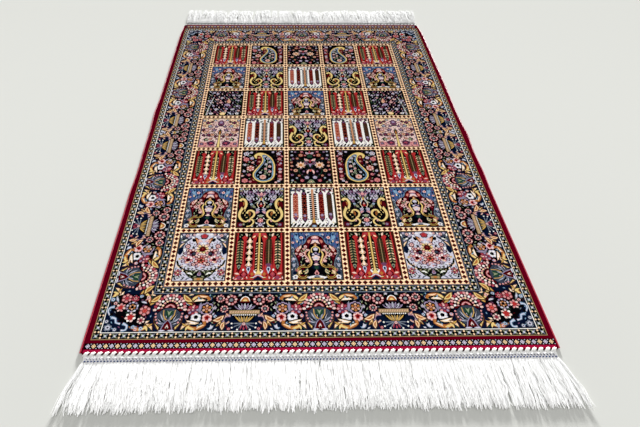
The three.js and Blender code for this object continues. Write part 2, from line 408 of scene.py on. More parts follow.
class RedCypressPanel(Panel):
    """Slim trees in rows on red."""

    outer: float = 48.0
    inner: float = 24.4
    plumes: int = 5
    stem_rows: int = 11
    crown: tuple[Point, ...] = (
        (16, 73), (54, 73), (54, 54), (44, 58), (40, 63), (32, 62), (29, 54), (20, 57),
    )

    def draw(self) -> Cartoon:
        """The compartment's plan."""
        plan = self.ground(Dye.RED)
        edge = self.width / 2
        for side in (-1, 1):
            plan.block(Dye.MAROON, side * edge, -74, side * (edge - 5), 74)
            for x in (14.6, 34.6):
                plan.leaf(Dye.MAROON, (side * x, -46), (side * x, 58), 3.4)
        self.draw_crown(plan)
        for x, every in ((-self.outer, 1), (self.outer - 1, 2)):
            Cypress(x, 7.6, 61, -27, Dye.INK, Dye.BEIGE, every=every).draw(plan)
            plan.block(Dye.GREEN, x - 0.9, -24, x + 0.9, 52)
            plan.lay(Dye.MAROON, [(x - 6, -38), (x, -56), (x + 6, -38)])
            plan.drop(Dye.INK, x, -36, 13, 19, 180)
            plan.drop(Dye.SAGE, x, -35, 10, 14, 180)
            plan.drop(Dye.SLATE, x, -35, 6, 9, 180)
        self.draw_plumes(plan)
        Cypress(self.inner, 7.4, 61, -28, Dye.OLIVE, Dye.BARK, Dye.MAUVE).draw(plan)
        plan.block(Dye.BEIGE, self.inner - 0.8, -24, self.inner + 0.8, 50)
        for x in (-self.inner, self.inner):
            plan.drop(Dye.MAUVE, x, -44, 13, 26, 180)
            plan.drop(Dye.MIST, x, -45, 10.4, 22, 180)
            plan.drop(Dye.BLUE, x, -43, 6.4, 13, 180)
            plan.oval(Dye.NAVY, x, -42, 2.2, 3.6)
        self.draw_stem(plan)
        self.draw_feet(plan)
        return plan

    def draw_crown(self, plan: Cartoon) -> None:
        """The dark leaves along the top."""
        for side in (-1, 1):
            plan.lay(Dye.INK, [(side * x, y) for x, y in self.crown])
            plan.block(Dye.ROSE, side * 6, 66, side * 13, 70)
            plan.frond((side * 32, 60), (side * 37, 72), 6, side, Dye.CREAM, Dye.BLUSH)
            plan.leaf(Dye.CREAM, (side * 10, 64), (side * 18, 57), 5)
            plan.dabs(
                Dye.SAGE, 8, (side * 46, 66, side * 40), (side * 50, 60, side * 70),
                (side * 26, 66, side * 100),
            )
            plan.dabs(
                Dye.OLIVE, 9, (side * 7, 60, side * 60), (side * 22, 62, side * 120), (side * 58, 66, 90)
            )

    def draw_plumes(self, plan: Cartoon) -> None:
        """The cream tree of stacked plumes."""
        x, foot, pitch = -self.inner, -34.0, 18.4
        plan.block(Dye.INK, x - 8.2, foot - 2, x + 8.2, 55)
        for k in range(self.plumes):
            y = foot + k * pitch
            for side in (-1, 1):
                plan.leaf(Dye.PINK, (x + side * 8.4, y + 1), (x + side * 5, y + 9), 3.6, steps=3)
            outline = [(-5.6, 0), (5.6, 0), (5, 6), (2.4, 13), (0, 19.6), (-2.4, 13), (-5, 6)]
            plan.lay(Dye.CREAM, [(x + u, y + v) for u, v in outline])
            plan.leaf(Dye.IVORY, (x, y + 1), (x, y + 14), 3.4)
            plan.dabs(Dye.BEIGE, 5.4, (x - 4, y + 3, 60), (x + 4, y + 3, 120))

    def draw_stem(self, plan: Cartoon) -> None:
        """The gold stem in the middle, with its paired leaves and its star foot."""
        plan.lay(Dye.INK, [(-10, -50), (10, -50), (10, 42), (5, 60), (-5, 60), (-10, 42)])
        for row in range(self.stem_rows):
            y = -44 + row * 8.2
            dye = Dye.BEIGE if row % 2 else Dye.CREAM
            for side in (-1, 1):
                plan.leaf(dye, (side * 9, y - 1.6), (side * 3.4, y + 2.6), 3.4, steps=3)
        plan.lay(Dye.BARK, [(-3.4, -50), (3.4, -50), (2.8, 60), (2.4, 72), (-2.4, 72), (-2.8, 60)])
        plan.lay(Dye.GOLD, [(-2.4, -50), (2.4, -50), (2.0, 60), (1.8, 72), (-1.8, 72), (-2.0, 60)])
        plan.block(Dye.STRAW, -0.7, -50, 0.9, 62)
        for side in (-1, 1):
            plan.frond((side * 1, -58), (side * 12, -44), 5.4, -side, Dye.MIST, Dye.IVORY)
            plan.leaf(Dye.OLIVE, (side * 6, -66), (side * 21, -66), 6)
            plan.leaf(Dye.STRAW, (side * 9, -66), (side * 20, -66), 3.4)
        plan.lay(Dye.STRAW, [(-9, -60), (-3, -57), (3, -57), (9, -60), (3.8, -48), (0, -38), (-3.8, -48)])
        plan.lay(Dye.NAVY, [(-13, -73), (13, -73), (0, -61)])
        plan.ribbon(Dye.MIST, [(-12, -66), (0, -58.5), (12, -66)], 2.6, steps=2)

    def draw_feet(self, plan: Cartoon) -> None:
        """The small flowers between the trees' feet."""
        for side in (-1, 1):
            plan.rosette(Dye.MAROON, side * 34.5, -57, 9.6, 4, 0.2)
            plan.lozenge(Dye.ROSE, side * 34.5, -57, 13, 18)
            plan.lozenge(Dye.CORAL, side * 34.5, -55, 5, 8)
            plan.oval(Dye.IVORY, side * 36.5, -43.5, 2.6, 3.6)
            plan.lozenge(Dye.ORANGE, side * 14.5, -56, 9, 11)
            plan.frond((side * 45, -57), (side * 58, -54), 6, side, Dye.PEACH, Dye.BLUSH)
            plan.lozenge(Dye.MAUVE, side * 46, -66, 13, 12)
            plan.lozenge(Dye.ROSE, side * 46, -66, 6, 6)
            plan.dabs(
                Dye.GREEN, 8, (side * 25, -67, side * 30), (side * 56, -62, 90),
                (side * 40, -68, side * 120),
            )
            plan.dabs(
                Dye.BLUSH, 8, (side * 58.5, -67, 90), (side * 37, -69, 60), (side * 27, -66, 110),
                (side * 53, -70, 20),
            )
            plan.dabs(
                Dye.INK, 7, (side * 20, -60, 60), (side * 42, -60, 100), (side * 31, -71, 10),
                (side * 52, -47, 90),
            )


class WhiteCypressPanel(Panel):
    """Slim dark trees in rows on white."""

    def draw(self) -> Cartoon:
        """The compartment's plan."""
        plan = self.ground(Dye.IVORY)
        trees = (
            Cypress(-46.9, 7.0, 60, -41, Dye.RUST, Dye.SALMON, Dye.MAROON, 8.4),
            Cypress(-22.8, 7.2, 63, -46, Dye.INK, Dye.RUST, pitch=8.4),
            Cypress(24.0, 7.0, 63, -44, Dye.MAROON, Dye.RUST, pitch=8.4),
            Cypress(47.0, 7.0, 60, -40, Dye.BARK, Dye.OLIVE, Dye.MAROON, 8.4),
        )
        for tree in trees:
            x = tree.x
            tree.draw(plan)
            plan.leaf(tree.body, (x, tree.foot + 2), (x, tree.top - 8), 5.4)
            for share, dye in ((0.0, Dye.MAUVE), (0.12, Dye.LILAC), (0.9, Dye.MAUVE)):
                y = tree.foot + share * (tree.top - tree.foot)
                plan.oval(dye, x, y, 4.4, 5.4)
            for row in range(5):
                plan.lozenge(tree.leaf, x, tree.foot + 20 + 16 * row, 3.6, 8)
        for row in range(13):
            y = -46 + row * 7.7
            for side in (-1, 1):
                plan.leaf(Dye.INK, (1 + side * 10.4, y - 1.6), (1 + side * 2.4, y + 3.4), 6.6, steps=3)
        plan.lay(
            Dye.BARK,
            [(-15, -73), (17, -73), (7, -60), (5, -48), (4.4, 68), (-2.4, 68), (-3, -48), (-5, -60)],
        )
        plan.lay(Dye.ORANGE, [(-2, -52), (4, -52), (3.4, 68), (-1.4, 68)])
        plan.lay(Dye.PEACH, [(0, -40), (2, -40), (2, 66), (0, 66)])
        plan.lay(Dye.GOLD, [(-4, -58), (6, -58), (3.4, -44), (-1.4, -44)])
        plan.oval(Dye.SKY, 1, -70, 6, 4.6, sides=8)
        plan.oval(Dye.MIST, 1, -70, 2.6, 2, sides=5)
        for side in (-1, 1):
            plan.drop(Dye.INK, 1 + side * 10, 56, 8, 13, side * 60)
            plan.leaf(Dye.SAGE, (1 + side * 4, 64), (1 + side * 18, 69), 4, side)
        self.draw_tops(plan)
        self.draw_feet(plan)
        return plan

    def draw_tops(self, plan: Cartoon) -> None:
        """Dark leaves and small flowers over the trees."""
        for x, y, turn in ((-52, 64, 30), (-44, 67, 140), (-37, 63, 20), (-29, 67, 150), (-24, 62, 70)):
            plan.oval(Dye.SLATE, x, y, 6.4, 3.4, turn)
        for x, y, turn in ((24, 67, 60), (32, 63, 150), (38, 68, 30), (52, 65, 120)):
            plan.oval(Dye.MAROON, x, y, 6, 3.2, turn)
        plan.flowers(Flower.MAUVE, (-40, 69, 4), (-48, 61, 3.4), (30, 69, 4), (56, 69, 3.4))
        plan.flowers(Flower.PINK, (44, 66, 5), (57, 60, 3.6), (36, 58, 3.4))
        plan.dabs(Dye.OLIVE, 9, (-58, 68, 90), (-12, 69, 20), (14, 69, 160), (58, 50, 90), (-58, 48, 90))
        for side in (-1, 1):
            plan.block(Dye.OLIVE, side * 59.4, -72, side * 61.6, 72)
            plan.sprinkle(
                (Dye.INK, Dye.MAUVE, Dye.BARK, Dye.SLATE), 14, (side * 36 - 24, 57, side * 36 + 24, 72), 10
            )

    def draw_feet(self, plan: Cartoon) -> None:
        """Dark leaves and small flowers along the foot."""
        for k in range(12):
            x = -58 + k * 10.6
            if abs(x - 1) > 12:
                plan.leaf(Dye.INK, (x - 6, -73), (x + 2, -61 + 3 * (k % 2)), 6)
                plan.dabs(Dye.OLIVE, 9, (x + 5, -70, 120))
        for side in (-1, 1):
            plan.dabs(Dye.SAGE, 8, (side * 56, -60, 70), (side * 34, -58, 110), (side * 15, -62, 60))
            plan.dabs(Dye.LILAC, 8, (side * 40, -56, 60), (side * 36, -64, 100))
            plan.dabs(Dye.STRAW, 8, (side * 52, -57, 120))
            plan.dabs(Dye.ROSE, 6, (side * 33, -49, 90), (side * 12, -54, 70))
            plan.dabs(Dye.SLATE, 8, (side * 35, -44, 60), (side * 37, -51, 120), (side * 13, -46, 100))


class ButehPanel(Panel):
    """A large paisley with a curling tip among roses."""

    spine: tuple[Point, ...] = (
        (4, -35), (10, -12), (15, 12), (12, 35), (1, 51), (-13, 57), (-23, 49), (-20, 37),
    )
    swell: tuple[float, ...] = (33.0, 28.0, 21.5, 15.0, 10.0, 6.6, 4.8, 2.6)
    foot_steps: int = 5
    rim: float = 6.0
    heart_joints: int = 5
    shades: tuple[tuple[float, float, float, float], ...] = (
        (42, -20, 60, 27), (40, 44, 56, 73), (44, -60, 58, -30), (-34, -73, -14, -46), (-18, 8, -4, 50),
    )

    def horn(self, inset: float, joints: int) -> list[Point]:
        """A paisley's edge, round a curled spine that swells towards a round foot.

        Args:
            inset: How far inside the full swell the edge runs.
            joints: How many of the spine's points it keeps, from the foot.

        Returns:
            The edge's points, counter-clockwise.
        """
        spine = np.array(self.spine[:joints], float)
        left = normals_of(spine, False)
        half = np.array(self.swell[:joints])[:, None] - inset
        ahead = np.array((left[0, 1], -left[0, 0]))
        turn = np.linspace(0, math.pi, self.foot_steps + 1)[1:-1, None]
        foot = spine[0] + half[0] * (np.cos(turn) * left[0] - np.sin(turn) * ahead)
        return np.vstack((spine - left * half, (spine + left * half)[::-1], foot)).tolist()

    def draw(self) -> Cartoon:
        """The compartment's plan."""
        plan = self.ground(Dye.NIGHT)
        for corners in self.shades:
            plan.block(Dye.WINE, *corners)
        muted = (Dye.STEEL, Dye.SAGE, Dye.MAUVE, Dye.RUST, Dye.LILAC, Dye.OLIVE)
        plan.sprinkle(muted, 54, (-61, -72, -14, 72), 7.0)
        plan.sprinkle(muted, 22, (32, -72, 61, 72), 7.0)
        self.draw_roses(plan)
        shell, heart = self.horn(0.0, len(self.spine)), self.horn(self.rim, self.heart_joints)
        plan.blob(Dye.INK, shell, grow=1.6, steps=2)
        plan.blob(Dye.GOLD, shell)
        plan.blob(Dye.STRAW, shell, grow=-1.3, steps=2)
        plan.blob(Dye.OLIVE, heart, grow=1.4, steps=2)
        plan.blob(Dye.SKY, heart, steps=2)
        plan.blob(Dye.NIGHT, heart, grow=-2.5, steps=2)
        self.draw_inside(plan)
        return plan

    def draw_roses(self, plan: Cartoon) -> None:
        """Roses and leaves round the paisley."""
        plan.rose(-36, -8, 12.5, Dye.RUST, Dye.BLUSH, Dye.SALMON, Dye.RED)
        for x, y, radius in ((-50, 32, 9.5), (-50, -60, 9.5), (50, 34, 7)):
            plan.rose(x, y, radius, Dye.ROSE, Dye.PINK, Dye.SALMON, Dye.RED)
        plan.flowers(Flower.MIST, (-51, 58, 9), (47, 58, 7), (-53, 8, 5), (52, -12, 5.6), (48, -62, 5))
        plan.flowers(
            Flower.LILAC, (-33, 38, 7.4), (-54, -20, 5.4), (54, 14, 4.6), (-36, 64, 5.4), (30, 66, 5),
            (54, 70, 4),
        )
        plan.flowers(
            Flower.ROSE, (-39, -36, 6.6), (51, -42, 6.4), (50, 8, 5), (-34, -64, 5.4), (58, 46, 4.4)
        )
        plan.flowers(
            Flower.PINK, (52, -24, 6), (-30, 18, 5), (-58, 44, 4), (40, -68, 4.4), (53, -55, 5),
            (-58, -40, 4.4),
        )
        plan.flowers(Flower.RUST, (-11, 40, 5.4), (-10, 22, 5), (-24, -56, 5))
        plan.dabs(
            Dye.SAGE, 9, (-40, 20, 40), (-44, -22, 110), (-26, -30, 30), (-40, 50, 20), (-44, 8, 80),
            (46, 22, 80),
        )

    def draw_inside(self, plan: Cartoon) -> None:
        """The flowering stem in the paisley's heart."""
        plan.sprinkle(
            (Dye.SKY, Dye.GREEN, Dye.STEEL, Dye.NAVY, Dye.SAGE, Dye.LILAC), 20, (0, -44, 24, 28), 6.4
        )
        plan.ribbon(Dye.SAGE, [(4, -44), (11, -24), (12, 2), (15, 28), (13, 46)], 1.8)
        plan.rose(2, -45, 9.6, Dye.BLUSH, Dye.SALMON, Dye.ORANGE, Dye.RED)
        plan.flowers(Flower.MIST, (15, 36, 5.6), (20, 20, 5.4), (10, 10, 4.6), (5, 45, 3.8), (-6, -26, 4.6))
        plan.flowers(Flower.PINK, (21, 0, 6), (9, -10, 5), (22, -22, 5.4))
        plan.dabs(Dye.SAGE, 9, (8, -20, 100), (15, -28, 60), (7, -32, 120), (20, -36, 80), (-2, -16, 60))
        plan.dabs(
            Dye.SKY, 9, (28, 20, 75), (31, -6, 88), (29, -32, 100), (20, -52, 40), (-12, -52, 120),
            (-13, -38, 80),
        )


class NightGardenPanel(Panel):
    """Symmetric roses on black."""

    def draw(self) -> Cartoon:
        """The compartment's plan."""
        plan = self.ground(Dye.NIGHT)
        half = Cartoon()
        half.sprinkle(
            (Dye.SLATE, Dye.MAROON, Dye.OLIVE, Dye.BARK, Dye.GREEN, Dye.MAUVE), 46, (-61, -72, 0, 72), 7.4
        )
        half.ribbon(Dye.GREEN, [(0, -60), (-20, -46), (-34, -22), (-30, 2)], 1.6)
        half.ribbon(Dye.GREEN, [(0, -20), (-14, 18), (-34, 36), (-26, 66)], 1.6)
        half.petals((Dye.BLUSH, Dye.PEACH), -28, 6, 11, 8, 8)
        half.rosette(Dye.CREAM, -28, 6, 9, 7, 0.16)
        half.rosette(Dye.ORANGE, -28, 6, 6.4, 6, 0.2)
        half.frond((-30, 0), (-26, 12), 4, 0, Dye.RED, Dye.GOLD)
        half.flowers(Flower.RUST, (-27, 51, 8.4), (-38, 36, 5.6), (-56, 18, 5), (-34, -40, 5))
        half.flowers(Flower.PEACH, (-44, -18, 7), (-55, 2, 4.4))
        half.flowers(Flower.ROSE, (-26, -61, 6.4), (-57, -14, 4), (-14, 50, 4), (-24, 67, 5))
        half.flowers(Flower.STEEL, (-54, 51, 5), (-54, -60, 4.6), (-41, -50, 4), (-54, 68, 4))
        half.flowers(Flower.MAUVE, (-51, 35, 5), (-54, -37, 5.4), (-44, 66, 4.4), (-20, -22, 4.2))
        half.flowers(Flower.LILAC, (-12, -48, 7.4))
        half.frond((-2, 26), (-17, 36), 10, 3, Dye.BLUSH, Dye.PINK)
        half.frond((-2, 10), (-15, 24), 9, 4, Dye.LILAC, Dye.MAROON)
        half.frond((0, 58), (-12, 66), 9, 3, Dye.BLUSH, Dye.LILAC)
        half.frond((-3, -12), (-10, -34), 7, -2, Dye.PINK, Dye.BLUSH)
        half.dabs(Dye.SAGE, 10, (-46, -67, 150), (-8, -67, 30), (-56, -68, 60), (-58, 30, 90))
        plan.pair(half)
        plan.lozenge(Dye.MAROON, 0, 22, 12, 22)
        plan.lozenge(Dye.ROSE, 0, 24, 6, 14)
        plan.drop(Dye.LILAC, 0, 4, 9, 16, 180)
        plan.rosette(Dye.GREEN, 0, 46, 8, 5)
        plan.drop(Dye.ROSE, 0, 66, 7, 12)
        plan.lozenge(Dye.CORAL, 0, -18, 8, 12)
        plan.bloom(0, -65, 8, Dye.SAGE, Dye.OLIVE, Dye.CREAM, petals=5)
        return plan


class GoldScrollPanel(Panel):
    """Two gold scrolls face to face under lilac flowers, on black."""

    scrolls: tuple[tuple[list[Point], float, float], ...] = (
        ([(-58, 23), (-54, 30), (-46, 28), (-41, 17), (-41, 4), (-46, -8)], 11.0, 8.0),
        ([(-50, -4), (-56, -18), (-57, -34), (-49, -48), (-39, -53), (-31, -48)], 11.0, 6.0),
        ([(-37, -24), (-33, -14), (-24, -13), (-17, -22), (-19, -34), (-27, -42)], 8.0, 7.4),
        ([(-29, -43), (-21, -47), (-18, -56), (-25, -67), (-36, -70)], 8.0, 4.4),
    )

    def draw(self) -> Cartoon:
        """The compartment's plan."""
        plan = self.ground(Dye.NIGHT)
        half = Cartoon()
        half.block(Dye.WINE, -61.5, -73, -46, -56)
        half.oval(Dye.WINE, -54, 6, 7, 15)
        pale = (Dye.LILAC, Dye.MIST, Dye.MAUVE, Dye.SAGE, Dye.MIST, Dye.STEEL, Dye.BLUSH)
        half.sprinkle(pale, 44, (-60, 26, 0, 72), 10.4, 98)
        half.sprinkle((Dye.MIST, Dye.SAGE, Dye.MAUVE, Dye.GREEN), 22, (-36, -72, 0, 28), 6.4)
        half.flowers(Flower.MIST, (-44, 58, 5.4), (-20, 60, 5), (-38, 40, 6.4))
        half.flowers(Flower.MAUVE, (-33, 58, 5.4), (-29, 20, 5), (-52, -64, 5.6), (-56, 62, 4.4))
        half.flowers(Flower.PINK, (-30, -50, 5))
        half.flowers(Flower.SAGE, (-42, 69, 5), (-57, 64, 5), (-24, 7, 5.4), (-19, 1, 4.6), (-44, -62, 4))
        half.flowers(Flower.LILAC, (-26, 40, 5.4), (-33, 28, 4.6))
        half.flowers(Flower.SEA, (-26, 10, 4.6), (-58, 70, 4))
        for points, width, tip in self.scrolls:
            half.scroll(points, width, tip, Dye.BARK, Dye.STRAW)
        half.frond((-50, 22), (-47, 2), 6, 2, Dye.BARK, Dye.ORANGE)
        half.frond((-32, -14), (-29, -36), 8, 1, Dye.BARK, Dye.ORANGE, Dye.MAROON)
        half.dabs(
            Dye.STRAW, 7, (-42, -30, 90), (-48, -22, 60), (-37, -38, 20), (-52, -2, 120), (-43, -14, 60)
        )
        half.lozenge(Dye.INK, -41, -42, 7, 8)
        half.ribbon(Dye.CREAM, [(0, 28), (-7, 21), (-10.5, 9), (-6, -2)], 2.2, 1.6)
        half.frond((-2, 36), (-15, 54), 9, -3, Dye.LILAC, Dye.PINK)
        half.frond((-3, 26), (-18, 14), 6, 2, Dye.MIST, Dye.SAGE)
        half.frond((-2, -8), (-14, -6), 9, 4, Dye.MIST, Dye.LILAC)
        half.frond((-2, -16), (-13, -26), 9, -3, Dye.LILAC, Dye.PINK)
        half.dabs(Dye.IVORY, 8, (-9, -42, 60), (-11, -58, 110), (-8, -70, 60), (-21, -69, 30))
        plan.pair(half)
        plan.rosette(Dye.SAGE, 0, 65, 9, 5, squash=0.6)
        plan.oval(Dye.IVORY, 0, 65, 4, 3)
        plan.rosette(Dye.MAUVE, 0, 47, 8, 5, 0.2, 1.3)
        plan.rosette(Dye.PINK, 0, 49, 5.4, 5, 0.2, 1.2)
        plan.dabs(Dye.BLUSH, 9, (-7, 44, 100), (7, 44, 80), (0, 56, 90))
        plan.drop(Dye.GOLD, 0, 32, 8, 13)
        plan.drop(Dye.MAROON, 0, 9, 13, 22)
        plan.drop(Dye.RED, 0, 8, 8, 14)
        plan.drop(Dye.BLUSH, 0, 12, 4, 8)
        plan.lozenge(Dye.NAVY, 0, -15, 8, 16)
        plan.rosette(Dye.SAGE, 0, -33, 7, 5, squash=0.8)
        plan.flowers(Flower.CORAL, (0, -49, 8))
        plan.flowers(Flower.LILAC, (0, -64, 7))
        return plan


class BlueUrnPanel(Panel):
    """A dark arched medallion with a flowering urn of gold scrolls, on blue."""

    medallion: tuple[Point, ...] = ((0, -72), (56, -72), (43, -30), (54, 14), (27, 36), (18, 56), (0, 64))

    def draw(self) -> Cartoon:
        """The compartment's plan."""
        plan = self.ground(Dye.BLUE)
        plan.block(Dye.SLATE, -62, -73, 62, 20)
        half = Cartoon()
        half.block(Dye.SLATE, -61.5, -73, -30, -6)
        half.sprinkle(
            (Dye.SKY, Dye.INK, Dye.SLATE, Dye.STEEL, Dye.INK, Dye.MAUVE), 60, (-61, 6, -14, 72), 9.4, 82
        )
        half.dabs(Dye.SKY, 15, (-50, 58, 90), (-46, 54, 80))
        half.dabs(Dye.INK, 10, (-40, 62, 90), (-24, 58, 80), (-57, 52, 90), (-41, 40, 80), (-54, 14, 90))
        half.sprinkle((Dye.MIST, Dye.SAGE, Dye.LILAC, Dye.NAVY, Dye.SKY), 16, (-61, -50, -42, 6), 7, 70)
        half.flowers(Flower.BLUSH, (-35, 56, 5.6), (-57, 40, 4))
        half.flowers(Flower.MIST, (-20, 66, 4), (-56, -12, 5))
        half.flowers(Flower.STEEL, (-55, -30, 5.4), (-58, 22, 4.4))
        half.dabs(Dye.CREAM, 10, (-46, 44, 85))
        plan.pair(half)
        outline = mirrored(self.medallion)
        for dye, grow in ((Dye.STEEL, 2.0), (Dye.INK, 0.4), (Dye.WINE, -1.6)):
            plan.blob(dye, outline, grow, steps=4)
        plan.lay(Dye.INK, [(-30, -72), (30, -72), (30, -20), (14, 34), (-14, 34), (-30, -20)])
        self.draw_sides(plan)
        self.draw_middle(plan)
        return plan

    def draw_sides(self, plan: Cartoon) -> None:
        """Roses, gold scrolls and volutes on both sides of the urn."""
        half = Cartoon()
        half.oval(Dye.INK, -33, -20, 9, 16)
        half.oval(Dye.INK, -32, 26, 12, 6)
        half.frond((-45, 8), (-44, 27), 12, 0, Dye.RUST, Dye.BLUSH, Dye.CORAL)
        half.frond((-40, 18), (-35, 31), 6, 1, Dye.CREAM, Dye.BLUSH)
        half.flowers(Flower.PINK, (-37, 2, 6), (-25, 27, 5), (-22, -18, 5))
        half.flowers(Flower.BLUSH, (-29, 20, 4.4), (-49, 4, 3.6))
        half.frond((-40, 0), (-46, -8), 5, 0, Dye.MAROON, Dye.ROSE)
        half.dabs(
            Dye.SAGE, 9, (-33, -12, 80), (-37, -22, 100), (-30, -30, 70), (-28, 16, 60), (-35, 12, 120)
        )
        half.dabs(Dye.MIST, 8, (-33, -4, 60), (-36, -32, 110))
        half.frond((-11, 50), (-17, 36), 9, -2, Dye.ROSE, Dye.SALMON)
        half.scroll(
            [(-15, 17), (-24, 13), (-27, 3), (-22, -8), (-15, -20), (-13, -30)],
            7.0, 4.0, Dye.MAROON, Dye.BLUSH, Dye.SALMON,
        )
        half.dabs(Dye.BLUSH, 7, (-31, 8, 150), (-30, -2, 30), (-26, -10, 40), (-21, -19, 50), (-23, 17, 110))
        half.scroll(
            [(-14, 12), (-18, 2), (-15, -9), (-11, -22), (-16, -32)], 6.0, 6.4, Dye.INK, Dye.GOLD, Dye.STRAW
        )
        half.scroll(
            [(-14, -30), (-22, -36), (-36, -35), (-46, -44), (-48, -56), (-41, -66), (-30, -68), (-22, -60)],
            8.0, 6.8, Dye.INK, Dye.GOLD, Dye.OLIVE,
        )
        half.oval(Dye.INK, -34, -52, 8, 9)
        half.dabs(Dye.STRAW, 15, (-34, -52, 40))
        half.dabs(Dye.INK, 15, (-34, -52, 130))
        half.frond((-44, -60), (-36, -44), 9, 2, Dye.BEIGE, Dye.CREAM)
        half.frond((-22, -40), (-30, -58), 8, 2, Dye.SAGE, Dye.CREAM, Dye.OLIVE)
        half.frond((-2, -60), (-26, -66), 8, 4, Dye.MIST, Dye.IVORY)
        half.flowers(Flower.SNOW, (-52, -65, 7))
        half.flowers(Flower.ROSE, (-48, -46, 4))
        half.oval(Dye.NAVY, -53, -54, 5, 6)
        half.dabs(Dye.GOLD, 8, (-31, -32, 150), (-9, -36, 60))
        plan.pair(half)

    def draw_middle(self, plan: Cartoon) -> None:
        """The palmette, the ring and the flowers on the middle line."""
        plan.rosette(Dye.PINK, 0, 55, 10, 7, 0.12, 0.7)
        plan.rosette(Dye.BLUSH, 0, 57, 6, 5, 0.12, 0.6)
        plan.oval(Dye.MAUVE, 0, 45, 10, 7, sides=8)
        plan.oval(Dye.MIST, 0, 44, 7, 5)
        plan.lay(Dye.BLUSH, [(-12, 35), (-6, 48), (-2, 46), (0, 42), (2, 46), (6, 48), (12, 35), (0, 40)])
        plan.drop(Dye.BARK, 0, 34, 12, 16)
        plan.drop(Dye.ORANGE, 0, 33, 8.4, 12)
        plan.drop(Dye.CREAM, 0, 32, 3.4, 6)
        for dye, rx in ((Dye.BARK, 13.4), (Dye.STRAW, 12.4), (Dye.INK, 10.0)):
            plan.oval(dye, 0, 15, rx, rx + 1, sides=10)
        plan.rosette(Dye.MIST, 0, 18, 6.6, 5)
        plan.block(Dye.INK, -5, 11, 5, 14)
        plan.oval(Dye.NAVY, 0, 2, 15, 7, sides=8)
        plan.petals((Dye.LILAC, Dye.MIST), 0, 0, 6.4, 7, 5)
        plan.rosette(Dye.BLUSH, 0, -9, 11, 5, 0.3, 0.8)
        plan.rosette(Dye.MIST, 0, -9, 6.4, 5, 0.3, 0.8)
        plan.oval(Dye.MAUVE, 0, -22, 5, 5)
        plan.lay(Dye.BLUSH, [(-7, -30), (0, -24), (7, -30), (0, -32)])
        plan.oval(Dye.NAVY, 0, -38, 12, 6, sides=8)
        plan.rosette(Dye.GREEN, 0, -38, 6, 5)
        plan.drop(Dye.PINK, 0, -52, 13, 16)
        plan.drop(Dye.MAROON, 0, -54, 6, 9)
        plan.lay(Dye.STEEL, [(-9, -64), (0, -60), (9, -64), (0, -67)])
        plan.block(Dye.BEIGE, -16, -73, 16, -68)
        plan.block(Dye.GOLD, -9, -72, 9, -69)


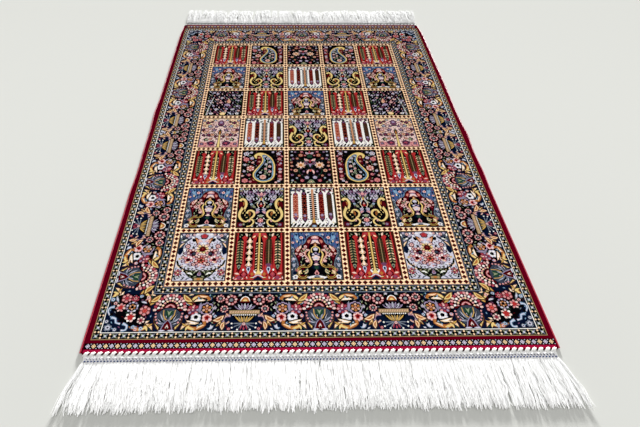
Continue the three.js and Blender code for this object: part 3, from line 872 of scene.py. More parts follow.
class BouquetPanel(Panel):
    """A large bouquet in a bowl on lilac white."""

    def draw(self) -> Cartoon:
        """The compartment's plan."""
        plan = self.ground(Dye.MIST)
        half = Cartoon()
        self.draw_corners(half)
        self.draw_bowl(half)
        self.draw_flowers(half)
        plan.pair(half)
        self.draw_middle(plan)
        return plan

    def draw_corners(self, half: Cartoon) -> None:
        """Dark leaves and small flowers in the left corners."""
        half.lay(
            Dye.SLATE,
            [(-61.5, 73), (-61.5, 8), (-54, 2), (-47, 12), (-49, 28), (-44, 42), (-34, 52), (-20, 73)],
        )
        half.lay(Dye.NAVY, [(-60, 28), (-60, 8), (-54, 3), (-48, 12), (-50, 26)])
        for y in (4, 12, 20, 28):
            half.oval(Dye.IVORY, -45 + 0.02 * (y - 12) ** 2, y, 4.6, 3.6)
        half.frond((-60, 22), (-46, 44), 6, 2, Dye.INK, Dye.CREAM)
        half.frond((-60, 50), (-46, 44), 5, 2, Dye.OLIVE, Dye.SAGE)
        half.dabs(Dye.INK, 11, (-52, 54, 150), (-46, 58, 20), (-40, 50, 60))
        half.dabs(Dye.IVORY, 12, (-59, 62, 110), (-36, 66, 70), (-30, 60, 110), (-18, 68, 0), (-47, 50, 30))
        half.flowers(Flower.PINK, (-44, 65, 5.4), (-26, 68, 4))
        half.flowers(Flower.LILAC, (-34, 62, 4.6), (-53, 68, 4.4), (-54, 44, 3.6), (-39, 58, 4))
        half.dabs(Dye.STEEL, 9, (-50, 66, 80), (-57, 56, 60), (-38, 70, 30), (-24, 62, 100))

    def draw_bowl(self, half: Cartoon) -> None:
        """The garland that is the bowl's rim, its foot and the flowers beside it, on the left."""
        half.lay(Dye.INK, [(0, -40), (-20, -44), (-36, -42), (-30, -58), (-16, -68), (0, -70)])
        half.ribbon(Dye.OLIVE, [(-59, -14), (-54, -27), (-44, -38), (-30, -45), (0, -47)], 4.4, 6.4)
        half.sprinkle((Dye.INK, Dye.SAGE, Dye.BARK, Dye.IVORY, Dye.OLIVE), 16, (-40, -47, 0, -34), 7.4)
        half.dabs(
            Dye.INK, 9, (-56, -22, 110), (-50, -29, 60), (-46, -36, 150), (-37, -38, 100), (-36, -46, 20)
        )
        half.dabs(
            Dye.CREAM, 8, (-52, -34, 130), (-41, -43, 150), (-29, -49, 160), (-44, -31, 50), (-57, -30, 100)
        )
        half.frond((-32, -51), (-14, -58), 8, 2, Dye.SAGE, Dye.IVORY)
        half.dabs(Dye.SAGE, 9, (-22, -62, 150), (-12, -50, 60), (-9, -62, 30))
        half.ribbon(Dye.OLIVE, [(-36, -46), (-26, -60), (-12, -69)], 3.0)
        half.rosette(Dye.MAROON, -52, -50, 10.4, 6, 0.3)
        half.petals((Dye.ROSE, Dye.PINK), -52, -50, 6.4, 6, 7)
        half.oval(Dye.CREAM, -52, -50, 2.4, sides=5)
        half.dabs(Dye.INK, 9, (-58, -62, 60), (-50, -66, 10), (-43, -58, 120), (-56, -69, 150))
        half.dabs(Dye.SAGE, 8, (-54, -62, 120), (-46, -64, 60), (-58, -40, 90))
        half.dabs(Dye.SLATE, 9, (-36, -64, 150), (-40, -70, 20), (-28, -68, 60), (-45, -40, 120))
        half.dabs(Dye.LILAC, 7, (-34, -58, 60), (-31, -71, 0), (-60, -54, 90))
        half.sprinkle((Dye.INK, Dye.OLIVE, Dye.STEEL), 16, (-61, -72, -16, -32), 9)

    def draw_flowers(self, half: Cartoon) -> None:
        """The bouquet's flowers on the left of its middle."""
        half.sprinkle((Dye.MAUVE, Dye.STEEL, Dye.INK, Dye.IVORY, Dye.MAROON), 66, (-48, -36, -2, 44), 7.4)
        half.frond((-15, 36), (-24, 60), 11, -3, Dye.INK, Dye.ORANGE)
        half.frond((-14, 38), (-19, 54), 5, -2, Dye.SALMON, Dye.PEACH)
        half.oval(Dye.INK, -26, 50, 4, 7, 20)
        half.frond((-2, 44), (-12, 55), 8, 3, Dye.PINK, Dye.BLUSH)
        half.flowers(
            Flower.PINK, (-38, 30, 6), (-36, 18, 4.4), (-12, 33, 4.4), (-46, -4, 4.4), (-17, -26, 5),
            edge=Dye.INK,
        )
        half.drop(Dye.INK, -23, 26, 7, 11, 15)
        half.dabs(Dye.GREEN, 6, (-25, 29, 60))
        half.rosette(Dye.MAROON, -23, 7, 16, 9, 0.14)
        half.petals((Dye.BLUSH, Dye.PINK), -23, 7, 11.5, 8, 9)
        half.oval(Dye.INK, -21.5, 6, 7.4, 6.6, 20, sides=8)
        half.oval(Dye.SLATE, -20, 7, 4.4, 4)
        half.oval(Dye.MAUVE, -28, 3, 3.4, 4)
        half.rosette(Dye.ROSE, -32, -12, 12.4, 7, 0.2)
        half.petals((Dye.IVORY, Dye.PINK), -32, -12, 8.6, 7, 7)
        half.rosette(Dye.MAROON, -32, -12, 6, 5)
        half.oval(Dye.INK, -32, -11, 4, 3)
        half.oval(Dye.CREAM, -33, -20, 3.4, 2.4)
        half.flowers(Flower.GOLD, (-53, -9, 4))
        half.flowers(
            Flower.LILAC, (-44, -16, 4.4), (-26, -24, 4), (-8, -31, 4.4), (-42, 8, 4), edge=Dye.MAROON
        )
        half.dabs(
            Dye.INK, 6, (-47, 12, 90), (-40, -22, 60), (-20, -18, 120), (-14, -6, 40), (-34, 38, 30),
            (-12, 24, 70),
        )

    def draw_middle(self, plan: Cartoon) -> None:
        """The flowers on the middle line and the bowl's foot."""
        plan.rosette(Dye.INK, 0, 62, 11, 5, 0.2, 0.9)
        plan.rosette(Dye.ROSE, 0, 63, 9, 5, squash=0.85)
        plan.rosette(Dye.RED, 0, 63, 5, 5)
        plan.rosette(Dye.BARK, 0, 21, 15, 9, 0.16)
        plan.petals((Dye.CREAM, Dye.STRAW), 0, 21, 11.4, 8, 9)
        plan.rosette(Dye.BARK, 0, 21, 9.4, 7, 0.14)
        plan.rosette(Dye.MAROON, 0, 20, 8, 3, 0.3)
        plan.lozenge(Dye.RUST, 0, 22, 4, 7)
        plan.petals((Dye.BLUSH,), 0, 2, 5, 5, 5)
        plan.rosette(Dye.MAROON, 0, -14, 17.4, 11, 0.12)
        plan.petals((Dye.PINK, Dye.BLUSH), 0, -14, 13, 8, 11)
        plan.rosette(Dye.MAROON, 0, -14, 10.4, 7, 0.2)
        plan.petals((Dye.CORAL, Dye.SALMON), 0, -14, 6.4, 6, 6)
        plan.lozenge(Dye.OLIVE, 0, -13, 4, 9)
        plan.petals((Dye.MIST, Dye.PINK), 0, -32, 5, 5, 5)
        plan.drop(Dye.LILAC, 0, -53, 11, 15)
        plan.lozenge(Dye.MAROON, 0, -53, 5, 10)
        plan.lozenge(Dye.PINK, 0, -53, 2, 5)
        plan.block(Dye.OLIVE, -14, -73, 14, -64)
        plan.block(Dye.BEIGE, -10.5, -73, 10.5, -65.5)
        plan.block(Dye.ORANGE, -4, -72, 4, -66.5)


class PinkTreePanel(Panel):
    """A gold tree with dark blossoms on pale pink."""

    def draw(self) -> Cartoon:
        """The compartment's plan."""
        plan = self.ground(Dye.BLUSH)
        half = Cartoon()
        half.lay(Dye.CREAM, [(-60, 72), (-60, 30), (-46, 24), (-30, 44), (-10, 72)])
        half.lay(Dye.PEACH, [(-60, 4), (-48, 24), (-36, 22), (-34, 2), (-46, -10)])
        half.lay(Dye.PINK, [(-60, -73), (-60, -44), (-40, -50), (-12, -44), (-10, -73)])
        half.block(Dye.LILAC, -62.5, -73, -60, 73)
        dark = (Dye.MAUVE, Dye.BARK, Dye.SAGE, Dye.INK, Dye.ROSE, Dye.MAROON)
        half.sprinkle(dark, 96, (-61, -72, -2, 72), 9.4)
        half.ribbon(Dye.OLIVE, [(0, -26), (-12, -8), (-24, 2), (-40, 4)], 2.4, 1.2)
        half.ribbon(Dye.BARK, [(0, -40), (-18, -26), (-34, -20), (-48, -24)], 2.2, 1.0)
        half.flowers(
            Flower.DUSK, (-43, 50, 7), (-30, 55, 5.4), (-54, 14, 6), (-35, -13, 7.4), (-50, -15, 5),
            (-12, -20, 5), edge=Dye.INK,
        )
        half.flowers(Flower.STEEL, (-34, 33, 7), (-56, 62, 4.6), (-20, 64, 4.6), edge=Dye.INK)
        half.flowers(Flower.PINK, (-43, 13, 7), (-26, 17, 6), (-26, 38, 4.6), edge=Dye.INK)
        half.flowers(Flower.MAUVE, (-19, 11, 6), (-52, -58, 5.4), (-14, 30, 5), edge=Dye.INK)
        half.flowers(Flower.PEACH, (-23, -12, 7), (-28, -34, 5), (-54, 36, 5), edge=Dye.INK)
        half.rosette(Dye.INK, -42, -36, 8, 5)
        half.rosette(Dye.SAGE, -40, -37, 5, 5)
        half.rosette(Dye.MAUVE, -23, -55, 13, 7, 0.16)
        half.petals((Dye.INK, Dye.MAROON), -23, -54, 8, 6, 7)
        half.rosette(Dye.ROSE, -23, -55, 5, 5)
        half.dabs(
            Dye.INK, 9, (-44, 46, 130), (-29, 60, 60), (-54, 8, 90), (-36, -43, 60), (-12, -26, 120),
            (-58, -6, 80),
        )
        plan.pair(half)
        plan.lay(Dye.BARK, [(-6, -73), (6, -73), (3.8, -40), (3.4, 4), (-3.4, 4), (-3.8, -40)])
        plan.lay(Dye.STRAW, [(-4, -73), (4, -73), (2.2, -40), (1.8, 0), (-1.8, 0), (-2.2, -40)])
        plan.drop(Dye.OLIVE, 0, 4, 14, 34)
        plan.drop(Dye.ORANGE, 0, -1, 6, 18)
        plan.rosette(Dye.INK, 0, 47, 11.5, 7, 0.14, 1.5)
        plan.rosette(Dye.MAUVE, 0, 48, 10, 7, 0.16, 1.45)
        plan.rosette(Dye.LILAC, 0, 52, 5.4, 5, 0.2, 1.3)
        plan.oval(Dye.MAROON, 0, 44, 3.4, 4)
        plan.leaf(Dye.INK, (-10, 34), (10, 34), 6)
        return plan


class NightSprayPanel(Panel):
    """A bent tree with lilac blossoms over a gold flower, on black."""

    def draw(self) -> Cartoon:
        """The compartment's plan."""
        plan = self.ground(Dye.NIGHT)
        plan.scroll([(-54, -71), (-51, -34), (-46, -2), (-40, 30)], 9, 3, Dye.SLATE, Dye.SAGE, Dye.MIST)
        plan.ribbon(Dye.OLIVE, [(-47, -12), (-24, 16), (2, 34), (30, 58)], 2.6, 1.4)
        pale = (Dye.LILAC, Dye.MIST, Dye.MAUVE, Dye.BLUSH, Dye.STEEL, Dye.SAGE, Dye.LILAC, Dye.PINK)
        plan.sprinkle(pale, 130, (-61, -72, 61, 73), 11.0, 112)
        plan.sprinkle((Dye.NAVY, Dye.GREEN, Dye.MAROON, Dye.INK), 30, (-61, -72, 61, 73), 8.4, 60)
        plan.flowers(
            Flower.MIST, (-27, 55, 6), (-10, 30, 6), (50, 44, 5.4), (-55, 12, 5), (-25, -38, 6.4),
            (30, -39, 6),
        )
        plan.flowers(
            Flower.LILAC, (-40, 62, 6), (29, 46, 6), (48, 14, 5.4), (46, -20, 6), (-36, -18, 5),
            (11, -36, 5.4),
        )
        plan.flowers(Flower.PINK, (-12, 2, 6.4), (-24, 20, 5.4), (8, -48, 5), (52, -46, 5), (34, 28, 4.6))
        plan.flowers(Flower.DUSK, (-27, -54, 6.4), (22, -26, 7), (40, 62, 5.4), (8, 56, 5))
        plan.drop(Dye.BARK, 15, 12, 19, 34)
        plan.drop(Dye.PEACH, 15, 11, 15, 29)
        plan.drop(Dye.SALMON, 12, 12, 7, 18)
        plan.oval(Dye.BARK, 9, 0, 3.6, 4.6)
        plan.rosette(Dye.LILAC, 11, -12, 10, 6, 0.2, 0.7)
        plan.dabs(Dye.GREEN, 13, (40, 6, 110), (12, 50, 100), (30, 16, 60), (56, 0, 80))
        plan.flowers(Flower.SNOW, (-40, -63, 6), (47, -62, 6.4))
        plan.rosette(Dye.STRAW, -1, -63, 10, 5, 0.14, 0.85)
        plan.rosette(Dye.CREAM, -1, -62, 6, 5)
        plan.frond((14, -52), (30, -72), 8, 2, Dye.STEEL, Dye.MIST)
        return plan


class PanelKind(Enum):
    """The compartments that the field is made up of."""

    RED = RedCypressPanel()
    WHITE = WhiteCypressPanel()
    BUTEH = ButehPanel()
    NIGHT = NightGardenPanel()
    SCROLL = GoldScrollPanel()
    URN = BlueUrnPanel()
    BOUQUET = BouquetPanel()
    TREE = PinkTreePanel()
    SPRAY = NightSprayPanel()


class BorderMotif(Enum):
    """The flowers of the main border."""

    PALMETTE = "palmette"
    URN = "urn"
    ROSES = "roses"
    STAR = "star"


@dataclass(frozen=True)
class BorderDrawing:
    """Draws the main border's motifs about their own middles, with their tops towards the field."""

    fan_petals: int = 16
    fan_beads: int = 10
    ribs: int = 8

    def draw(self, motif: BorderMotif) -> Cartoon:
        """The plan of one motif."""
        makers = {
            BorderMotif.PALMETTE: self.palmette,
            BorderMotif.URN: self.urn,
            BorderMotif.ROSES: self.roses,
            BorderMotif.STAR: self.star,
        }
        return makers[motif]()

    def arch(self, plan: Cartoon, dye: Dye, rx: float, ry: float, base: float) -> None:
        """Half an oval that stands on a level base."""
        angle = np.linspace(0, math.pi, 9)
        plan.lay(dye, np.stack((rx * np.cos(angle), base + ry * np.sin(angle)), 1))

    def beads(
        self, plan: Cartoon, dyes: tuple[Dye, ...], rx: float, ry: float, base: float, size: float
    ) -> None:
        """A row of beads along the arch of a fan."""
        for k in range(self.fan_beads):
            angle = math.radians(10 + 160 * k / (self.fan_beads - 1))
            plan.oval(dyes[k % len(dyes)], rx * math.cos(angle), base + ry * math.sin(angle), size, sides=5)

    def palmette_side(self) -> Cartoon:
        """The gold leaves and scrolls on a palmette's left."""
        side = Cartoon()
        side.oval(Dye.WINE, -48, 20, 7, 5)
        scrolls = (
            [(-46, 25), (-54, 37), (-68, 41), (-82, 38), (-88, 30)],
            [(-44, -37), (-58, -42), (-72, -39), (-82, -32), (-81, -24)],
        )
        for points in scrolls:
            side.scroll(points, 12.4, 8.4, Dye.BARK, Dye.ORANGE)
        side.leaf(Dye.STRAW, (-45, 26), (-61, 42), 5.6, -2)
        side.leaf(Dye.CREAM, (-62, 43), (-83, 40), 5.0, 2)
        side.leaf(Dye.STRAW, (-44, -37), (-63, -43), 5.6, 1)
        side.leaf(Dye.CREAM, (-65, -43), (-83, -33), 5.0, -2)
        side.frond((-82, 30), (-47, 26), 13, 3, Dye.INK, Dye.CREAM, Dye.IVORY)
        side.frond((-74, -29), (-36, -20), 13, -3, Dye.INK, Dye.CREAM, Dye.IVORY)
        side.frond((-51, 24), (-23, 48), 17, -3, Dye.BARK, Dye.STRAW, Dye.ORANGE)
        side.frond((-51, 17), (-36, 24), 7, 1, Dye.BARK, Dye.GOLD)
        side.frond((-33, -12), (-17, -47), 15, 3, Dye.BARK, Dye.STRAW, Dye.ORANGE)
        side.frond((-50, -26), (-29, -46), 10, 3, Dye.BARK, Dye.CREAM)
        side.frond((-46, -34), (-31, -27), 6, -2, Dye.BARK, Dye.GOLD)
        side.leaf(Dye.STRAW, (-50, -33), (-42, -47), 5, 2)
        side.leaf(Dye.CREAM, (-50, 46), (-38, 44), 4)
        side.dabs(Dye.GREEN, 9, (-66, 34, 20), (-72, -33, 160), (-36, -43, 150), (-56, 46, 0), (-90, 44, 60))
        side.dabs(Dye.SKY, 7, (-61, 37, 60), (-67, -36, 100), (-91, -42, 30), (-40, -10, 80), (-57, -46, 0))
        return side

    def palmette(self) -> Cartoon:
        """A fan of petals over a striped shield."""
        plan = Cartoon()
        plan.pair(self.palmette_side())
        self.arch(plan, Dye.INK, 39, 46, 2)
        self.arch(plan, Dye.MAROON, 37, 44, 3)
        for k in range(self.fan_petals):
            angle = math.radians(3 + 174 * k / (self.fan_petals - 1))
            dye = (Dye.BLUSH, Dye.PINK, Dye.ROSE)[k % 3]
            spot = (34 * math.cos(angle), 4 + 40.5 * math.sin(angle))
            plan.oval(dye, *spot, 3.4, 4.8, math.degrees(angle) - 90, sides=5)
        self.arch(plan, Dye.INK, 30.5, 36.5, 3)
        self.beads(plan, (Dye.BLUSH, Dye.IVORY), 26.6, 31.6, 5, 3.5)
        self.beads(plan, (Dye.CREAM, Dye.PINK), 19.4, 24, 6, 3.0)
        self.arch(plan, Dye.MAROON, 15, 17, 6)
        self.arch(plan, Dye.PINK, 12.4, 14, 6)
        self.arch(plan, Dye.ROSE, 9, 10, 6)
        plan.lay(Dye.MAROON, [(-29, 3), (-26, 9), (26, 9), (29, 3)])
        plan.lay(Dye.ROSE, [(-22, 3), (-18, 8), (18, 8), (22, 3)])
        plan.rosette(Dye.MAROON, 0, 13, 5, 5)
        plan.oval(Dye.INK, 0, -15, 31, 28, sides=12)
        plan.oval(Dye.SLATE, 0, -15, 29, 26, sides=12)
        for k in range(self.ribs):
            angle = math.radians(-28 + 236 * k / (self.ribs - 1))
            x, y = 27 * math.cos(angle), -17 + 23 * math.sin(angle)
            plan.leaf(Dye.STEEL if k % 2 else Dye.INK, (0.2 * x, -28), (x, y), 5.4, steps=3)
            plan.leaf(Dye.MIST, (0.5 * x, -22 + 0.3 * y), (0.92 * x, 0.92 * y - 1.4), 1.8, steps=3)
        for side in (-1, 1):
            for k in range(4):
                plan.oval(Dye.PINK, side * (29.5 - 0.7 * k * k), -4 - 7.4 * k, 2.6, sides=5)
            plan.ribbon(Dye.GOLD, [(side * 13, 5), (side * 12, -8), (side * 4, -20)], 2.2, steps=2)
        plan.lay(Dye.GREEN, [(-10, 4), (-8, -7), (0, -15), (8, -7), (10, 4)])
        plan.lay(Dye.SAGE, [(-5, 4), (0, -9), (5, 4), (0, 0)])
        for dye, grow in ((Dye.LILAC, 14.0), (Dye.INK, 11.6), (Dye.MAROON, 10.0)):
            x, y = 0.6 * grow, -38 + 0.7 * grow
            plan.lay(dye, [(-grow, -44), (grow, -44), (x, y), (0, -32 + grow), (-x, y)])
        plan.drop(Dye.BLUSH, 0, -36, 8, 11)
        plan.oval(Dye.GREEN, 0, -39, 2.4, sides=5)
        for side in (-1, 1):
            plan.leaf(Dye.MIST, (side * 2, -45.5), (side * 18, -46), 4)
        return plan

    def urn(self) -> Cartoon:
        """A striped urn with a garland over it, acanthus beside it and a spray under its foot."""
        plan = Cartoon()
        half = Cartoon()
        half.lay(Dye.INK, [(-74, 44), (-74, 22), (-58, -2), (-30, 2), (-8, 30), (0, 46)])
        half.sprinkle((Dye.GREEN, Dye.MAROON, Dye.STEEL, Dye.SAGE, Dye.BARK), 20, (-76, -4, -4, 46), 7)
        for x, y, radius in ((-32, 30, 14.5), (-57, 34, 10.4), (-46, 7, 9.6)):
            self.garland_ring(half, x, y, radius)
        half.dabs(Dye.SAGE, 8, (-70, 22, 60), (-61, 18, 120), (-60, 4, 60), (-72, 40, 30), (-14, 42, 40))
        half.flowers(Flower.MIST, (-68, 10, 4.4), (-12, 44, 4))
        half.scroll(
            [(-31, -10), (-42, -12), (-47, -22), (-40, -30), (-33, -25)], 7.4, 4.0, Dye.MAUVE, Dye.LILAC,
            Dye.PEACH,
        )
        half.frond((-42, -8), (-73, -24), 18, 4, Dye.BARK, Dye.CREAM, Dye.ORANGE)
        half.frond((-43, -22), (-48, -48), 14, -2, Dye.BARK, Dye.CREAM, Dye.ORANGE)
        half.frond((-51, -20), (-62, -38), 9, 2, Dye.BARK, Dye.GOLD, Dye.CREAM)
        half.frond((-35, -13), (-41, -3), 6, 0, Dye.RUST, Dye.PEACH)
        half.frond((-66, -34), (-79, -45), 7, 1, Dye.STEEL, Dye.MIST)
        half.dabs(Dye.MIST, 9, (-62, -44, 30), (-72, -36, 110), (-70, -6, 60), (-78, -20, 100))
        half.dabs(Dye.MAROON, 8, (-56, -32, 60), (-66, -28, 20), (-38, -38, 90))
        for end in ((-27, -30), (-26, -40), (-14, -45)):
            half.leaf(Dye.STEEL, (-2, -29), end, 3.4)
            half.oval(Dye.IVORY, *end, 2.4, sides=5)
        half.flowers(Flower.ROSE, (-33, -43, 4.4))
        half.leaf(Dye.ROSE, (-4, -32), (-8, -46), 3.4)
        plan.pair(half)
        self.arch(plan, Dye.INK, 30, 23, 2)
        for k in range(7):
            x = (k - 3) * 8.0
            top = 22 - 0.012 * x * x
            plan.leaf(Dye.MIST if k % 2 else Dye.LILAC, (0.4 * x, 4), (x, top), 5.0, steps=3)
            plan.leaf(Dye.NAVY, (0.42 * x, 6), (0.9 * x, 0.86 * top), 2.0, steps=3)
        for dye, rx in ((Dye.IVORY, 11.4), (Dye.ORANGE, 9.6), (Dye.STRAW, 5.0)):
            self.arch(plan, dye, rx, 1.2 * rx, 26)
        plan.block(Dye.MAROON, -10, 23.5, 10, 26.5)
        plan.block(Dye.BARK, -35, -8, 35, 4)
        plan.block(Dye.BEIGE, -34, -6, 34, 3)
        for k in range(12):
            plan.dabs(Dye.PEACH, 8, ((k - 5.5) * 5.6, -1.4, 62))
        for k in range(12):
            plan.oval(Dye.IVORY, (k - 5.5) * 4.6, -8.6, 1.8, sides=5)
        plan.lay(Dye.INK, [(-26, -10.5), (-22, -20), (-5, -29), (5, -29), (22, -20), (26, -10.5)])
        for k in range(7):
            x = (k - 3) * 7.2
            plan.leaf(Dye.BEIGE if k % 2 else Dye.GOLD, (x, -11), (0.25 * x, -28), 3.8, steps=3)
        plan.flowers(Flower.PINK, (0, -31, 4.6))
        plan.drop(Dye.ROSE, 0, -41, 5, 10)
        return plan

    def garland_ring(self, plan: Cartoon, x: float, y: float, radius: float) -> None:
        """A round flower with beaded petals and a grey heart."""
        plan.oval(Dye.MAROON, x, y, radius, sides=9)
        plan.petals((Dye.PINK, Dye.BLUSH, Dye.PINK), x, y, 0.76 * radius, 0.46 * radius, 9)
        plan.rosette(Dye.INK, x, y, 0.54 * radius, 5)
        plan.oval(Dye.STEEL, x, y, 0.34 * radius, sides=5)
        plan.oval(Dye.SAGE, x, y, 0.16 * radius, sides=4)

    def roses(self) -> Cartoon:
        """A close cluster of four flowers among leaves."""
        plan = Cartoon()
        plan.lay(Dye.INK, [(-34, -26), (30, -26), (38, 0), (30, 26), (-30, 28), (-38, 4)])
        plan.sprinkle((Dye.GREEN, Dye.SKY, Dye.MAROON, Dye.SAGE, Dye.MAUVE), 26, (-40, -42, 40, 44), 7.4)
        plan.rosette(Dye.LILAC, -13, 8, 16.4, 8, 0.12)
        plan.rosette(Dye.INK, -13, 8, 13.4, 7, 0.16)
        plan.petals((Dye.PEACH, Dye.ORANGE), -13, 8, 7.6, 7, 6)
        plan.flowers(Flower.RUST, (-13, 8, 4.6))
        plan.rosette(Dye.MAROON, 17, 5, 15, 7, 0.14)
        plan.petals((Dye.PINK, Dye.ROSE, Dye.LILAC), 17, 5, 10, 8, 8)
        plan.rosette(Dye.MAUVE, 17, 5, 6.4, 5)
        plan.petals((Dye.BLUSH, Dye.ROSE), 18, 8, 3.2, 4, 4)
        plan.frond((1, 25), (3, -4), 7, 0, Dye.STEEL, Dye.LILAC)
        plan.rosette(Dye.PINK, -16, -16, 12, 6, 0.2)
        plan.petals((Dye.BLUSH,), -16, -16, 8.4, 6, 6)
        plan.rosette(Dye.RED, -16, -15, 7.4, 5, 0.36)
        plan.rosette(Dye.MAROON, -16, -15, 4.4, 5, 0.36)
        plan.rosette(Dye.MIST, 9, -15, 12, 6, 0.16)
        plan.petals((Dye.IVORY,), 9, -15, 7, 7, 6)
        plan.rosette(Dye.INK, 9, -13, 5.6, 5)
        plan.flowers(Flower.PINK, (30, -12, 5), (-33, 18, 5), (22, 26, 5))
        plan.flowers(Flower.SEA, (-34, -12, 4.6), (-4, -32, 5), (32, 22, 4.4), (-18, 34, 4.6))
        plan.dabs(Dye.SAGE, 9, (-30, -28, 30), (26, -28, 150), (6, 32, 20), (-28, 30, 140))
        return plan

    def star(self) -> Cartoon:
        """A small gold flower on the middle line of a long side."""
        plan = Cartoon()
        plan.bloom(0, 6, 12, Dye.GOLD, Dye.ORANGE, Dye.STRAW, Dye.MAROON, petals=8)
        plan.bloom(0, -24, 10, Dye.MIST, Dye.SKY, Dye.NAVY, petals=6)
        for side in (-1, 1):
            plan.leaf(Dye.SAGE, (side * 4, -34), (side * 14, -44), 5)
        return plan

    def corner(self) -> Cartoon:
        """Roses and a cloud scroll for the left front corner, about the middle of the corner square."""
        plan = Cartoon()
        plan.lay(
            Dye.INK,
            [(-46, 40), (-40, 8), (-26, -8), (-8, -24), (14, -38), (42, -30), (48, 14), (30, 46), (-20, 48)],
        )
        plan.sprinkle(
            (Dye.GREEN, Dye.SKY, Dye.MAROON, Dye.SAGE, Dye.MAUVE, Dye.STEEL), 44, (-46, -46, 46, 46), 7.4
        )
        clouds = (
            [(-34, 15), (-43, 13), (-46, 3), (-39, -6)],
            [(-35, -12), (-25, -15), (-22, -25), (-12, -28)],
            [(-6, -27), (4, -33), (3, -43), (-7, -44)],
        )
        for points in clouds:
            plan.scroll(points, 8.8, 5.0, Dye.SLATE, Dye.SKY, Dye.MIST)
        plan.oval(Dye.INK, -36, -4, 4, 5)
        plan.oval(Dye.INK, -14, -21, 5, 3.4)
        plan.flowers(Flower.STEEL, (-37, -37, 9), (-43, -22, 5.4), (-21, -42, 5.4))
        plan.flowers(Flower.SEA, (-42, 34, 5.4), (36, -40, 5.4), (18, -36, 5), (22, 42, 5))
        plan.rose(-11, 37, 13, Dye.MAROON, Dye.PINK, Dye.ROSE, Dye.RED)
        plan.rose(9, 36, 10, Dye.INK, Dye.ROSE, Dye.PINK, Dye.MAROON)
        plan.rose(36, 4, 14, Dye.MAROON, Dye.PINK, Dye.CORAL, Dye.RED)
        plan.rose(32, -20, 10, Dye.INK, Dye.BLUSH, Dye.ROSE, Dye.MAROON)
        plan.petals((Dye.PINK, Dye.BLUSH), -20, 13, 8, 8, 7)
        plan.rosette(Dye.RED, -20, 13, 7, 5, 0.34)
        plan.petals((Dye.MIST, Dye.LILAC), 6, 14, 12, 5, 10)
        plan.rosette(Dye.INK, 6, 14, 10, 6)
        plan.petals((Dye.ORANGE, Dye.PEACH), 6, 14, 5.6, 5, 6)
        plan.petals((Dye.BLUSH, Dye.IVORY), 7, -12, 9, 8, 7)
        plan.rosette(Dye.RED, 7, -12, 8, 5, 0.36)
        plan.frond((22, 28), (40, 24), 8, 0, Dye.SLATE, Dye.MIST)
        plan.frond((-28, 26), (-36, 44), 7, 0, Dye.STEEL, Dye.MIST)
        plan.flowers(Flower.PINK, (38, 38, 6), (-34, 24, 4.6), (24, -42, 4.6))
        return plan


